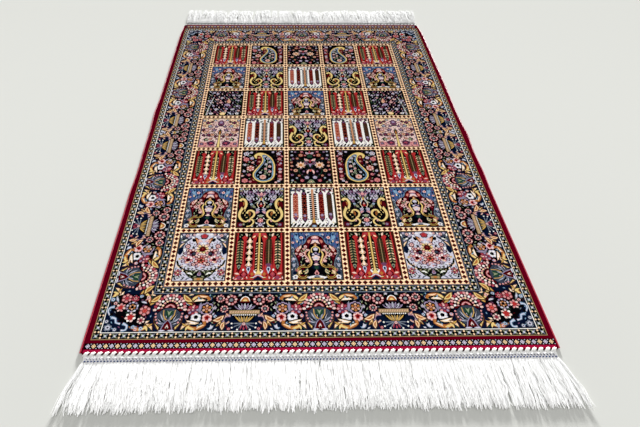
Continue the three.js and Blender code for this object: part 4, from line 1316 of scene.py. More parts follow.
@dataclass(frozen=True)
class RugPlan:
    """The whole design: a lattice of compartments, guards, a main border and end rows, in millimetres."""

    columns: int = 5
    rows: int = 7
    pitch_x: float = 142.0
    pitch_y: float = 165.0
    band: float = 16.0
    inner_guard: float = 19.0
    main_border: float = 96.0
    outer_guard: float = 18.0
    lozenges_x: int = 10
    lozenges_y: int = 12
    edging: float = 2.8
    guard_repeat: float = 20.4
    diamond_pitch: float = 12.6
    diamond_count: int = 80
    diamond_row: float = 733.0
    end_palmettes: tuple[float, ...] = (0, -338, 338)
    end_urns: tuple[float, ...] = (-169, 169)
    end_roses: tuple[tuple[float, bool], ...] = ((-268, True), (-70, False), (268, False), (70, True))
    side_palmettes: tuple[float, ...] = (-229, 229, -556, 556)
    side_urns: tuple[float, ...] = (-66, 66, -396, 396)
    side_roses: tuple[tuple[float, bool], ...] = (
        (-156, True), (156, False), (-302, False), (302, True), (-486, True), (486, False),
    )
    layout: tuple[tuple[PanelKind, ...], ...] = (
        (PanelKind.RED, PanelKind.BUTEH, PanelKind.NIGHT),
        (PanelKind.URN, PanelKind.SCROLL, PanelKind.WHITE),
        (PanelKind.SPRAY, PanelKind.RED, PanelKind.URN),
        (PanelKind.TREE, PanelKind.WHITE, PanelKind.SCROLL),
        (PanelKind.RED, PanelKind.BUTEH, PanelKind.NIGHT),
        (PanelKind.URN, PanelKind.SCROLL, PanelKind.WHITE),
        (PanelKind.BOUQUET, PanelKind.RED, PanelKind.URN),
    )

    def field_half(self) -> Point:
        """Half the size of the lattice, to the outside of its bands."""
        half_x = self.columns * self.pitch_x / 2 + self.band / 2
        half_y = self.rows * self.pitch_y / 2 + self.band / 2
        return half_x, half_y

    def draw(self) -> Cartoon:
        """The plan of the whole rug, without its crimson ground."""
        plan = Cartoon()
        self.draw_borders(plan)
        self.draw_lattice(plan)
        self.draw_panels(plan)
        self.draw_end_rows(plan)
        return plan

    def frame(self, plan: Cartoon, dye: Dye, grow: float) -> None:
        """A rectangle that stands some distance outside the lattice."""
        half_x, half_y = self.field_half()
        plan.block(dye, -half_x - grow, -half_y - grow, half_x + grow, half_y + grow)

    def draw_borders(self, plan: Cartoon) -> None:
        """The two guards and the main border between them."""
        inner, main, outer = self.inner_guard, self.main_border, self.outer_guard
        rim = inner + main
        self.frame(plan, Dye.BEIGE, rim + outer)
        self.frame(plan, Dye.INK, rim + outer - 1.6)
        for dye, grow in ((Dye.IVORY, 2.4), (Dye.INK, 0.4), (Dye.NAVY, -0.6)):
            self.frame(plan, dye, rim + grow)
        self.draw_main_border(plan)
        for dye, grow in ((Dye.INK, 0.8), (Dye.STEEL, -0.4), (Dye.INK, -2.4)):
            self.frame(plan, dye, inner + grow)
        self.frame(plan, Dye.STEEL, 1.6)
        self.draw_guard(plan, rim + outer / 2 + 0.4, outer - 5)
        self.draw_guard(plan, inner / 2 - 0.4, inner - 5)

    def draw_guard(self, plan: Cartoon, grow: float, width: float) -> None:
        """Rows of small flowers along a guard, all round the rug."""
        half_x, half_y = (part + grow for part in self.field_half())
        cell = self.guard_flower(width)
        for length, reach, turn in ((half_x, half_y, 0), (half_y, half_x, 90)):
            count = round(2 * length / self.guard_repeat)
            pitch = 2 * length / count
            for k in range(count):
                for spin in (turn, turn + 180):
                    spot = turned(np.array((-length + k * pitch, -reach)), spin)
                    plan.place(cell, spot[0], spot[1], spin)

    def guard_flower(self, width: float) -> Cartoon:
        """One repeat of a guard: a grey flower of four leaves, then a pair of cream buds."""
        cell = Cartoon()
        half = self.guard_repeat / 2
        for dye, turn in ((Dye.STEEL, 42), (Dye.SAGE, 138)):
            cell.oval(dye, 0, 0, 8.2, 2.0, turn, sides=4)
        cell.lozenge(Dye.MIST, 0, 0, 5.6, 6.0)
        for side in (-1, 1):
            cell.lozenge(Dye.CREAM, half, side * width * 0.3, 5.6, 5.6)
        return cell

    def draw_main_border(self, plan: Cartoon) -> None:
        """Palmettes, urns and roses along the four sides, and the corners."""
        drawing = BorderDrawing()
        motifs = {motif: drawing.draw(motif) for motif in BorderMotif}
        half_x, half_y = self.field_half()
        across = half_x + self.inner_guard + self.main_border / 2
        along = half_y + self.inner_guard + self.main_border / 2
        roses, urn, star, palmette = (
            motifs[kind]
            for kind in (BorderMotif.ROSES, BorderMotif.URN, BorderMotif.STAR, BorderMotif.PALMETTE)
        )
        for turn in (0, 180):
            end, side = Cartoon(), Cartoon()
            for place, flip in self.end_roses:
                end.place(roses, place, -along, flip=flip)
            for place in self.end_urns:
                end.place(urn, place, -along)
            for place in self.end_palmettes:
                end.place(palmette, place, -along)
            for place, flip in self.side_roses:
                side.place(roses, place, -across, flip=flip)
            side.place(star, 0, -across)
            for place in self.side_urns:
                side.place(urn, place, -across)
            for place in self.side_palmettes:
                side.place(palmette, place, -across)
            plan.place(side, turn=turn + 90)
            plan.place(end, turn=turn)
        corner = drawing.corner()
        for x in (-1, 1):
            for y in (-1, 1):
                turn = 0 if y < 0 else 180
                plan.place(corner, x * across, y * along, turn, flip=x * y < 0)

    def draw_lattice(self, plan: Cartoon) -> None:
        """The cream bands between the compartments, with their dark red lozenges."""
        half_x, half_y = self.field_half()
        self.frame(plan, Dye.OLIVE, 0.0)
        edge = self.band / 2
        runs = [(False, -half_x + edge + column * self.pitch_x) for column in range(self.columns + 1)]
        runs += [(True, -half_y + edge + row * self.pitch_y) for row in range(self.rows + 1)]
        for dye, half in ((Dye.SALMON, edge - 1.0), (Dye.WHEAT, edge - 2.2)):
            for level, place in runs:
                if level:
                    plan.block(dye, -half_x + edge - half, place - half, half_x - edge + half, place + half)
                else:
                    plan.block(dye, place - half, -half_y + edge - half, place + half, half_y - edge + half)
        for level, place in runs:
            reach, pitch = half_y, self.pitch_y / self.lozenges_y
            if level:
                reach, pitch = half_x, self.pitch_x / self.lozenges_x
            for k in range(round((2 * reach - self.band) / pitch) + 1):
                spot = -reach + edge + k * pitch
                if level:
                    plan.lozenge(Dye.GARNET, spot, place, 13.0, 12.6)
                else:
                    plan.lozenge(Dye.GARNET, place, spot, 12.0, 12.4)

    def draw_panels(self, plan: Cartoon) -> None:
        """The compartments, the right half of the field mirroring the left."""
        drawings = {kind: kind.value.draw() for kind in PanelKind}
        edging = self.panel_edging()
        for row, kinds in enumerate(self.layout):
            y = ((self.rows - 1) / 2 - row) * self.pitch_y
            for column in range(self.columns):
                kind = kinds[min(column, self.columns - 1 - column)]
                flip = column > self.columns // 2 and kind in (PanelKind.BUTEH, PanelKind.SPRAY)
                x = (column - (self.columns - 1) / 2) * self.pitch_x
                plan.place(drawings[kind], x, y, flip=flip)
                plan.place(edging, x, y)

    def panel_edging(self) -> Cartoon:
        """The dark line round a compartment."""
        edging = Cartoon()
        half_x, half_y = (self.pitch_x - self.band) / 2 + 1.2, (self.pitch_y - self.band) / 2 + 1.2
        for side in (-1, 1):
            edging.block(Dye.OLIVE, side * half_x, -half_y, side * (half_x - self.edging), half_y)
            edging.block(Dye.OLIVE, -half_x, side * half_y, half_x, side * (half_y - self.edging))
        return edging

    def draw_end_rows(self, plan: Cartoon) -> None:
        """The row of small diamonds across each end, a little shorter at the narrower far end."""
        plan.place(self.end_row(self.diamond_count), 0, -self.diamond_row)
        plan.place(self.end_row(self.diamond_count - 2), 0, self.diamond_row, 180)

    def end_row(self, count: int) -> Cartoon:
        """A row of small diamonds in two dyes by turns."""
        row = Cartoon()
        reach = self.diamond_pitch * count / 2
        row.block(Dye.CERISE, -reach, -14.6, reach, -7.8)
        row.block(Dye.INK, -reach - 1.5, -6.8, reach + 1.5, 6.8)
        for k in range(count):
            x = -reach + (k + 0.5) * self.diamond_pitch
            row.lozenge(Dye.CREAM if k % 2 else Dye.MIST, x, 0, 10.4, 11.0)
            row.lozenge(Dye.GOLD if k % 2 else Dye.LILAC, x, 0, 7.0, 7.4)
            row.lozenge(Dye.IVORY, x, 0, 2.8, 3.0)
            for side in (-1, 1):
                row.lozenge(Dye.MIST, x + self.diamond_pitch / 2, side * 5.0, 2.8, 2.8)
        return row


@dataclass(frozen=True)
class Bulge:
    """Where a long side leaves its straight line, in millimetres."""

    side: int
    at: float
    reach: float
    out: float


@dataclass(frozen=True)
class RugOutline:
    """The uneven edge of the knotted pile, in millimetres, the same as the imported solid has."""

    width: float = 1017.0
    length: float = 1500.0
    corner: float = 5.0
    corner_steps: int = 4
    side_steps: int = 60
    bulges: tuple[Bulge, ...] = (
        Bulge(-1, 115, 55, 3.6),
        Bulge(-1, -170, 60, -1.2),
        Bulge(-1, -275, 40, 1.2),
        Bulge(-1, 750, 60, -6.0),
        Bulge(1, 310, 90, 1.4),
        Bulge(1, 120, 40, -1.0),
        Bulge(1, -15, 50, 4.4),
        Bulge(1, -190, 50, 2.6),
        Bulge(1, 750, 50, -7.0),
    )

    def half_width(self, side: int, y: np.ndarray) -> np.ndarray:
        """How far a long side lies from the middle line.

        Args:
            side: -1 for the left side and 1 for the right.
            y: Places along the rug.

        Returns:
            The distance at each place.
        """
        out = np.full_like(np.asarray(y, float), self.width / 2)
        for bulge in self.bulges:
            if bulge.side == side:
                out = out + bulge.out * np.exp(-(((y - bulge.at) / bulge.reach) ** 2))
        return out

    def ring(self, inset: float) -> np.ndarray:
        """The edge's points counter-clockwise, drawn in by some distance."""
        radius = self.corner
        y = np.linspace(-1, 1, self.side_steps + 1) * (self.length / 2 - radius)
        parts = []
        for side, turn in ((1, 1), (-1, -1)):
            run = y[::turn]
            x = self.half_width(side, run)
            parts.append(np.stack((side * (x - inset), run), 1))
            middle = np.array((side * (x[-1] - radius), turn * (self.length / 2 - radius)))
            angle = np.linspace(0, math.pi / 2, self.corner_steps + 1)[1:] + (0 if side > 0 else math.pi)
            parts.append(middle + (radius - inset) * np.stack((np.cos(angle), np.sin(angle)), 1))
            other = self.half_width(-side, run[-1:])[0] - radius
            middle = np.array((-side * other, middle[1]))
            angle = angle[-1] + np.linspace(0, math.pi / 2, self.corner_steps + 1)[:-1]
            parts.append(middle + (radius - inset) * np.stack((np.cos(angle), np.sin(angle)), 1))
        return np.vstack(parts)


class NodeKit:
    """Short helpers to build a material's or a group's nodes."""

    def __init__(self, tree: bpy.types.NodeTree) -> None:
        """Works on one node tree."""
        self.tree = tree

    def add(self, kind: str, **sockets: object) -> bpy.types.Node:
        """Adds a node and sets its sockets.

        Args:
            kind: The node's type, without the leading ShaderNode.
            sockets: Values or output sockets by input name, with underscores for spaces.

        Returns:
            The new node.
        """
        node = self.tree.nodes.new(f"ShaderNode{kind}")
        for name, value in sockets.items():
            self.set(node, name.replace("_", " "), value)
        return node

    def set(self, node: bpy.types.Node, name: str | int, value: object) -> None:
        """Sets one input to a value, or links an output to it."""
        if isinstance(value, bpy.types.NodeSocket):
            self.tree.links.new(value, node.inputs[name])
        else:
            node.inputs[name].default_value = value

    def math(self, operation: str, first: object, second: object = 0.0) -> bpy.types.NodeSocket:
        """The result of a sum on two values or sockets."""
        node = self.add("Math")
        node.operation = operation
        self.set(node, 0, first)
        self.set(node, 1, second)
        return node.outputs[0]


class SharedGroups:
    """Shader groups that more than one finish uses, each built once."""

    def __init__(self) -> None:
        """Builds the groups."""
        self.tone_drift = self.build_tone_drift()
        self.thread_ply = self.build_thread_ply()

    def new_group(
        self, name: str, inputs: dict[str, tuple[str, object]], outputs: dict[str, str]
    ) -> NodeKit:
        """Starts a group with named sockets.

        Args:
            name: The group's name.
            inputs: Socket type and starting value by input name.
            outputs: Socket type by output name.

        Returns:
            A kit for the group's tree, with its two ends kept as kit.start and kit.end.
        """
        tree = bpy.data.node_groups.new(name, "ShaderNodeTree")
        for label, (kind, value) in inputs.items():
            tree.interface.new_socket(label, in_out="INPUT", socket_type=kind).default_value = value
        for label, kind in outputs.items():
            tree.interface.new_socket(label, in_out="OUTPUT", socket_type=kind)
        kit = NodeKit(tree)
        kit.start = tree.nodes.new("NodeGroupInput").outputs
        kit.end = tree.nodes.new("NodeGroupOutput")
        return kit

    def build_tone_drift(self) -> bpy.types.NodeTree:
        """Dye that drifts a little from row to row and from knot to knot."""
        kit = self.new_group(
            "Tone drift",
            {
                "Colour": ("NodeSocketColor", (1, 1, 1, 1)),
                "Row strength": ("NodeSocketFloat", 0.1),
                "Fleck strength": ("NodeSocketFloat", 0.1),
                "Fleck scale": ("NodeSocketFloat", 900.0),
            },
            {"Colour": "NodeSocketColor"},
        )
        place = kit.add("TexCoord").outputs["Object"]
        stretch = kit.add("Mapping", Vector=place, Scale=(3.0, 70.0, 1.0)).outputs[0]
        rows = kit.add("TexNoise", Vector=stretch, Scale=1.0, Detail=3.0, Roughness=0.6).outputs["Fac"]
        flecks = kit.add("TexNoise", Vector=place, Scale=kit.start["Fleck scale"], Detail=1.0).outputs["Fac"]
        row_part = kit.math("MULTIPLY", kit.math("SUBTRACT", rows, 0.5), kit.start["Row strength"])
        fleck_part = kit.math("MULTIPLY", kit.math("SUBTRACT", flecks, 0.5), kit.start["Fleck strength"])
        value = kit.math("ADD", kit.math("ADD", row_part, fleck_part), 1.0)
        shade = kit.add("HueSaturation", Color=kit.start["Colour"], Value=value)
        kit.set(kit.end, "Colour", shade.outputs[0])
        return kit.tree

    def drift(
        self, kit: NodeKit, colour: bpy.types.NodeSocket, rows: float, flecks: float, scale: float
    ) -> bpy.types.NodeSocket:
        """Lets a material's colour drift in tone.

        Args:
            colour: The even colour.
            rows: How far it drifts from row to row.
            flecks: How far it drifts from knot to knot.
            scale: How fine the flecks are.

        Returns:
            The drifting colour.
        """
        node = kit.add("Group")
        node.node_tree = self.tone_drift
        values = {"Colour": colour, "Row strength": rows, "Fleck strength": flecks, "Fleck scale": scale}
        for name, value in values.items():
            kit.set(node, name, value)
        return node.outputs["Colour"]

    def build_thread_ply(self) -> bpy.types.NodeTree:
        """The fine slanting twist of plied thread, as a height."""
        kit = self.new_group(
            "Thread ply",
            {"Scale": ("NodeSocketFloat", 900.0), "Slant": ("NodeSocketFloat", 0.6)},
            {"Height": "NodeSocketFloat"},
        )
        place = kit.add("TexCoord").outputs["Object"]
        turn = kit.add("CombineXYZ", Z=kit.start["Slant"]).outputs[0]
        slanted = kit.add("Mapping", Vector=place, Rotation=turn).outputs[0]
        wave = kit.add("TexWave", Vector=slanted, Scale=kit.start["Scale"], Distortion=1.5, Detail=1.0)
        kit.set(kit.end, "Height", wave.outputs["Fac"])
        return kit.tree


@dataclass(frozen=True)
class SilkFinish:
    """Short silk pile: dyed by the design, without gloss, with rows of knots."""

    name: str = "silk pile"
    attribute: str = "design"
    roughness: float = 0.6
    specular: float = 0.0
    row_drift: float = 0.25
    fleck: float = 0.7
    fleck_scale: float = 420.0
    knots_per_metre: float = 1100.0
    knot_height: float = 0.0004
    knot_strength: float = 0.35
    knot_scatter: float = 0.35

    def material(self, groups: SharedGroups) -> bpy.types.Material:
        """Builds the material."""
        material, kit, shader = new_material(self.name)
        dye = kit.add("VertexColor")
        dye.layer_name = self.attribute
        even = dye.outputs["Color"]
        shade = groups.drift(kit, even, self.row_drift, self.fleck, self.fleck_scale)
        kit.set(shader, "Base Color", shade)
        place = kit.add("TexCoord").outputs["Object"]
        knots = kit.add(
            "TexVoronoi", Vector=place, Scale=self.knots_per_metre, Randomness=self.knot_scatter
        ).outputs["Distance"]
        bump = kit.add("Bump", Strength=self.knot_strength, Distance=self.knot_height, Height=knots)
        bump.invert = True
        kit.set(shader, "Normal", bump.outputs[0])
        kit.set(shader, "Roughness", self.roughness)
        kit.set(shader, "Specular IOR Level", self.specular)
        return material


@dataclass(frozen=True)
class ThreadFinish:
    """Plied thread in one dye, with a tone of its own for each thread."""

    name: str
    colour: tuple[int, int, int]
    roughness: float = 0.7
    sheen: float = 0.05
    tone: float = 0.08
    fleck_scale: float = 400.0
    ply_scale: float = 600.0
    ply_height: float = 0.0003
    ply_strength: float = 0.5
    specular: float = 0.25

    def material(self, groups: SharedGroups) -> bpy.types.Material:
        """Builds the material."""
        material, kit, shader = new_material(self.name)
        linear = tuple(to_linear(part / 255) for part in self.colour)
        tone = kit.add("VertexColor")
        tone.layer_name = "tone"
        base = kit.add("Mix", Factor=1.0)
        base.data_type = "RGBA"
        base.blend_type = "MULTIPLY"
        kit.set(base, 6, (*linear, 1.0))
        kit.set(base, 7, tone.outputs["Color"])
        shade = groups.drift(kit, base.outputs[2], self.tone, self.tone, self.fleck_scale)
        kit.set(shader, "Base Color", shade)
        ply = kit.add("Group")
        ply.node_tree = groups.thread_ply
        kit.set(ply, "Scale", self.ply_scale)
        height = ply.outputs["Height"]
        bump = kit.add("Bump", Strength=self.ply_strength, Distance=self.ply_height, Height=height)
        kit.set(shader, "Normal", bump.outputs[0])
        kit.set(shader, "Roughness", self.roughness)
        kit.set(shader, "Sheen Weight", self.sheen)
        kit.set(shader, "Specular IOR Level", self.specular)
        return material


def new_material(name: str) -> tuple[bpy.types.Material, NodeKit, bpy.types.Node]:
    """Starts a node material.

    Args:
        name: The material's name.

    Returns:
        The material, a kit for its nodes, and its main shader.
    """
    material = bpy.data.materials.new(name)
    material.use_nodes = True
    tree = material.node_tree
    return material, NodeKit(tree), tree.nodes["Principled BSDF"]


def new_piece(name: str, points: np.ndarray, faces: list, material: bpy.types.Material) -> bpy.types.Object:
    """Makes a mesh object at the origin from points in millimetres.

    Args:
        name: The piece's name.
        points: One row for each vertex.
        faces: The vertices of each face.
        material: Its finish.

    Returns:
        The new object.
    """
    mesh = bpy.data.meshes.new(name)
    mesh.from_pydata((np.asarray(points, float) * MM).tolist(), [], faces)
    mesh.update()
    mesh.materials.append(material)
    piece = bpy.data.objects.new(name, mesh)
    bpy.context.collection.objects.link(piece)
    return piece


def paint(piece: bpy.types.Object, layer: str, face_colours: np.ndarray) -> None:
    """Stores one colour for each face in a colour layer.

    Args:
        piece: The mesh object.
        layer: The layer's name.
        face_colours: One row of red, green and blue for each face.
    """
    mesh = piece.data
    counts = np.empty(len(mesh.polygons), np.int32)
    mesh.polygons.foreach_get("loop_total", counts)
    colours = np.column_stack((face_colours, np.ones(len(face_colours))))
    attribute = mesh.color_attributes.new(layer, "FLOAT_COLOR", "CORNER")
    attribute.data.foreach_set("color", np.repeat(colours, counts, axis=0).astype(np.float32).ravel())


def finish_piece(piece: bpy.types.Object, node: str, smooth_angle: float = 60.0) -> None:
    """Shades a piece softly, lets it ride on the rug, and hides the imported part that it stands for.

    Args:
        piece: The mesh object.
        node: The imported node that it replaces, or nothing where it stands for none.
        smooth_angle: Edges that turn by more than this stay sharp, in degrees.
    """
    bpy.ops.object.select_all(action="DESELECT")
    piece.select_set(True)
    bpy.context.view_layer.objects.active = piece
    bpy.ops.object.shade_smooth_by_angle(angle=math.radians(smooth_angle))
    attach(piece, BODY)
    if node:
        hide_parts(node)
    LOG.info("%s: %d faces", piece.name, len(piece.data.polygons))


def thread_piece(
    name: str, shape: tuple[np.ndarray, list], material: bpy.types.Material, node: str
) -> bpy.types.Object:
    """Makes and finishes a piece of thread in one even tone.

    Args:
        name: The piece's name.
        shape: Its points in millimetres and its faces.
        material: Its finish.
        node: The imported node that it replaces, or nothing where it stands for none.

    Returns:
        The finished piece.
    """
    points, faces = shape
    piece = new_piece(name, points, faces, material)
    paint(piece, "tone", np.ones((len(faces), 3)))
    finish_piece(piece, node)
    return piece


@dataclass(frozen=True)
class SilkPile:
    """The knotted pile: one flat sheet whose top is cut along every edge of the design."""

    outline: RugOutline = RugOutline()
    plan: RugPlan = RugPlan()
    finish: SilkFinish = SilkFinish()
    height: float = 6.0
    rim: tuple[Point, ...] = ((1.5, 6.0), (0.7, 5.75), (0.15, 5.1), (0.0, 4.2), (0.0, 0.9), (0.7, 0.0))
    merge: float = 0.02
    short: float = 1.3
    slack: float = 0.56
    back_dye: Dye = Dye.MAROON
    top_share: float = 0.98
    strip_gap: float = 0.004
    strip_share: float = 0.012
    map_margin: float = 20.0

    def build(self, groups: SharedGroups) -> bpy.types.Object:
        """Cuts, colours and closes the sheet.

        Args:
            groups: The shared shader groups.

        Returns:
            The finished piece.
        """
        rings = [self.outline.ring(inset) for inset, _ in self.rim]
        patches = [(rings[0], Dye.CRIMSON)] + self.plan.draw().patches
        points, triangles, ring_index, dyes = self.cut(patches)
        count = len(rings[0])
        vertices = [np.column_stack((points, np.full(len(points), self.height)))]
        faces = triangles.tolist()
        colours = [np.array([dye.linear() for dye in Dye])[dyes]]
        last = ring_index
        start = len(points)
        for ring, (_, z) in zip(rings[1:], self.rim[1:]):
            vertices.append(np.column_stack((ring, np.full(count, z))))
            here = np.arange(start, start + count)
            quads = np.column_stack((last, here, np.roll(here, -1), np.roll(last, -1)))
            faces += quads.tolist()
            colours.append(np.tile(Dye.CRIMSON.linear(), (count, 1)))
            last, start = here, start + count
        faces.append(last[::-1].tolist())
        colours.append(np.array([self.back_dye.linear()]))
        piece = new_piece("silk_pile", np.vstack(vertices), faces, self.finish.material(groups))
        paint(piece, self.finish.attribute, np.vstack(colours))
        self.unfold(piece, len(triangles))
        finish_piece(piece, "knotted_pile")
        return piece

    def cut(self, patches: list[Patch]) -> tuple[np.ndarray, np.ndarray, np.ndarray, np.ndarray]:
        """Cuts the sheet's top along every edge of the design that shows.

        Args:
            patches: Outlines and dyes, the rug's own edge first.

        Returns:
            The points, the triangles, the places of the edge's points among them and each triangle's dye.
        """
        rim = patches[0][0]
        counts = [len(outline) for outline, _ in patches]
        index = np.arange(sum(counts))
        after = np.concatenate([np.roll(part, -1) for part in np.split(index, np.cumsum(counts)[:-1])])
        points = np.vstack([outline for outline, _ in patches])
        points, triangles, _ = self.mesh_lines(points, np.column_stack((index, after)), rim)
        dyes = self.choose_dyes(points, triangles, patches)
        points, edges = self.thin_lines(*self.visible_lines(points, triangles, dyes, rim), len(rim))
        points, triangles, origins = self.mesh_lines(points, edges, rim)
        return points, triangles, origins[: len(rim)], self.choose_dyes(points, triangles, patches)

    def mesh_lines(
        self, points: np.ndarray, edges: np.ndarray, rim: np.ndarray
    ) -> tuple[np.ndarray, np.ndarray, np.ndarray]:
        """Fills a sheet with triangles that keep to some lines.

        Args:
            points: The ends of the lines.
            edges: The two ends of each line.
            rim: The sheet's own edge.

        Returns:
            The sheet's points, its triangles, and where each of the given points is among them.
        """
        corners = [Vector(p) for p in points.tolist()]
        mesh = delaunay_2d_cdt(corners, edges.tolist(), [], 0, self.merge, True)
        found, _, triangles, origins = mesh[:4]
        place = np.full(len(points), -1)
        for spot, sources in enumerate(origins):
            for source in sources:
                place[source] = spot
        spots, faces = np.array([tuple(p) for p in found]), np.array(triangles)
        return spots, faces[inside(spots[faces].mean(axis=1), rim)], place

    def visible_lines(
        self, points: np.ndarray, triangles: np.ndarray, dyes: np.ndarray, rim: np.ndarray
    ) -> tuple[np.ndarray, np.ndarray]:
        """Finds the lines where one dye meets another, and leaves out what lies under them.

        Args:
            points: The sheet's points.
            triangles: The sheet's triangles.
            dyes: Each triangle's dye.
            rim: The sheet's own edge.

        Returns:
            The ends of the lines with the sheet's own edge first, and the two ends of each line.
        """
        sides = np.sort(np.vstack((triangles[:, :2], triangles[:, 1:], triangles[:, ::2])), axis=1)
        order = np.lexsort((sides[:, 1], sides[:, 0]))
        sides, owner = sides[order], np.tile(np.arange(len(triangles)), 3)[order]
        twin = np.flatnonzero((sides[1:] == sides[:-1]).all(axis=1))
        lines = sides[twin[dyes[owner[twin]] != dyes[owner[twin + 1]]]]
        used, lines = np.unique(lines, return_inverse=True)
        count = len(rim)
        loop = np.column_stack((np.arange(count), np.roll(np.arange(count), -1)))
        return np.vstack((rim, points[used])), np.vstack((loop, lines.reshape(-1, 2) + count))

    def thin_lines(self, points: np.ndarray, edges: np.ndarray, kept: int) -> tuple[np.ndarray, np.ndarray]:
        """Joins the ends of very short lines and straightens lines that hardly bend.

        Args:
            points: The ends of the lines.
            edges: The two ends of each line.
            kept: How many of the first points stay as they are.

        Returns:
            The ends that are left, and the two ends of each line.
        """
        home = list(range(len(points)))

        def root(spot: int) -> int:
            """The point that a joined point now lies on."""
            while home[spot] != spot:
                home[spot] = home[home[spot]]
                spot = home[spot]
            return spot

        reach = np.linalg.norm(points[edges[:, 0]] - points[edges[:, 1]], axis=1)
        for pair in edges[reach < self.short].tolist():
            low, high = sorted(map(root, pair))
            if high >= kept:
                home[high] = low
        near: list[set[int]] = [set() for _ in home]
        for a, b in edges.tolist():
            a, b = root(a), root(b)
            if a != b:
                near[a].add(b)
                near[b].add(a)
        spots = points.tolist()
        for spot in range(kept, len(spots)):
            if len(near[spot]) == 2:
                a, b = near[spot]
                (ax, ay), (bx, by), (x, y) = spots[a], spots[b], spots[spot]
                area = abs((bx - ax) * (y - ay) - (by - ay) * (x - ax))
                if area < self.slack * math.hypot(bx - ax, by - ay):
                    near[spot] = set()
                    near[a] = near[a] - {spot} | {b}
                    near[b] = near[b] - {spot} | {a}
        lines = np.array([(a, b) for a, others in enumerate(near) for b in others if a < b])
        used = np.unique(np.concatenate((np.arange(kept), lines.ravel())))
        return points[used], np.searchsorted(used, lines)

    def choose_dyes(self, points: np.ndarray, triangles: np.ndarray, patches: list[Patch]) -> np.ndarray:
        """Finds the dye of the topmost patch over each triangle.

        Args:
            points: The sheet's points.
            triangles: The sheet's triangles.
            patches: Outlines and dyes, from the lowest to the topmost.

        Returns:
            The place of each triangle's dye in the list of dyes.
        """
        number = {dye: place for place, dye in enumerate(Dye)}
        middle = points[triangles].mean(axis=1)
        order = np.argsort(middle[:, 1])
        height = middle[order, 1]
        top = np.zeros(len(triangles), int)
        for outline, dye in patches:
            low, high = outline.min(axis=0), outline.max(axis=0)
            near = order[np.searchsorted(height, low[1]):np.searchsorted(height, high[1])]
            near = near[(middle[near, 0] > low[0]) & (middle[near, 0] < high[0])]
            top[near[inside(middle[near], outline)]] = number[dye]
        return top

    def unfold(self, piece: bpy.types.Object, top_faces: int) -> None:
        """Gives the sheet a flat map: its top fills most of it, its rim and back a strip.

        Args:
            piece: The sheet.
            top_faces: How many of its first faces are the top.
        """
        mesh = piece.data
        layer = mesh.uv_layers.new(name="OFBake")
        spots = np.empty(len(mesh.vertices) * 3)
        mesh.vertices.foreach_get("co", spots)
        index = np.empty(len(mesh.loops), np.int32)
        mesh.loops.foreach_get("vertex_index", index)
        place = spots.reshape(-1, 3)[index] / MM
        u = place[:, 0] / (self.outline.width + self.map_margin) + 0.5
        v = place[:, 1] / (self.outline.length + self.map_margin) + 0.5
        top_loops = mesh.polygons[top_faces].loop_start
        strip = self.top_share + self.strip_gap + self.strip_share * v
        v = np.where(np.arange(len(index)) < top_loops, v * self.top_share, strip)
        layer.data.foreach_set("uv", np.column_stack((u, v)).ravel())


def inside(spots: np.ndarray, outline: np.ndarray) -> np.ndarray:
    """Whether spots lie inside a closed outline, by how often it winds round them.

    Args:
        spots: One row for each spot.
        outline: The outline's points.

    Returns:
        True for each spot inside.
    """
    winding = np.zeros(len(spots), int)
    x, y = spots[:, 0], spots[:, 1]
    for a, b in zip(outline, np.roll(outline, -1, axis=0)):
        left = (b[0] - a[0]) * (y - a[1]) - (x - a[0]) * (b[1] - a[1])
        winding += (a[1] <= y) & (b[1] > y) & (left > 0)
        winding -= (a[1] > y) & (b[1] <= y) & (left < 0)
    return winding != 0


def tubes(
    paths: np.ndarray, radii: np.ndarray, sides: int, across: np.ndarray, up: np.ndarray
) -> tuple[np.ndarray, list]:
    """Closed tubes along many paths at once.

    Args:
        paths: Points as tube, station and coordinate.
        radii: A radius for each tube and station.
        sides: Sides of each tube.
        across: The direction of a section's first axis, for all or at each tube and station.
        up: The direction of its second axis, in the same way.

    Returns:
        The vertices and the faces of all tubes.
    """
    count, stations, _ = paths.shape
    angle = math.pi / 2 - math.pi / sides + np.arange(sides) * 2 * math.pi / sides
    ring = across[..., None, :] * np.cos(angle)[:, None] + up[..., None, :] * np.sin(angle)[:, None]
    points = paths[:, :, None, :] + ring * radii[:, :, None, None]
    first = np.arange(count)[:, None, None] * stations * sides
    station = np.arange(stations - 1)[None, :, None] * sides
    side = np.arange(sides)[None, None, :]
    here, beside = first + station + side, first + station + (side + 1) % sides
    walls = np.stack((here, beside, beside + sides, here + sides), -1).reshape(-1, 4)
    starts = (first[:, 0] + np.arange(sides)[::-1]).tolist()
    ends = (first[:, 0] + (stations - 1) * sides + np.arange(sides)).tolist()
    return points.reshape(-1, 3), walls.tolist() + starts + ends


@dataclass(frozen=True)
class WrappedCord:
    """A cord along one long edge, wrapped close in crimson silk."""

    side: int
    outline: RugOutline = RugOutline()
    radius: float = 2.25
    gap: float = 0.3
    end_inset: float = 4.0
    wrap_pitch: float = 3.0
    wrap_depth: float = 0.16
    sides: int = 10
    finish: ThreadFinish = ThreadFinish("wrapped cord", (176, 8, 48), 0.45, 0.2, 0.3)

    def build(self, groups: SharedGroups) -> bpy.types.Object:
        """Makes the cord with its wraps."""
        reach = self.outline.length / 2 - self.end_inset
        stations = int(2 * reach / (self.wrap_pitch / 2)) + 1
        y = np.linspace(-reach, reach, stations)
        x = self.side * (self.outline.half_width(self.side, y) + self.gap + self.radius)
        path = np.column_stack((x, y, np.full(stations, self.radius)))[None]
        radii = (self.radius - self.wrap_depth * (np.arange(stations) % 2))[None]
        shape = tubes(path, radii, self.sides, -ACROSS, UP)
        name = "left" if self.side < 0 else "right"
        material = self.finish.material(groups)
        return thread_piece(f"wrapped_cord_{name}", shape, material, f"side_cord_{name}")


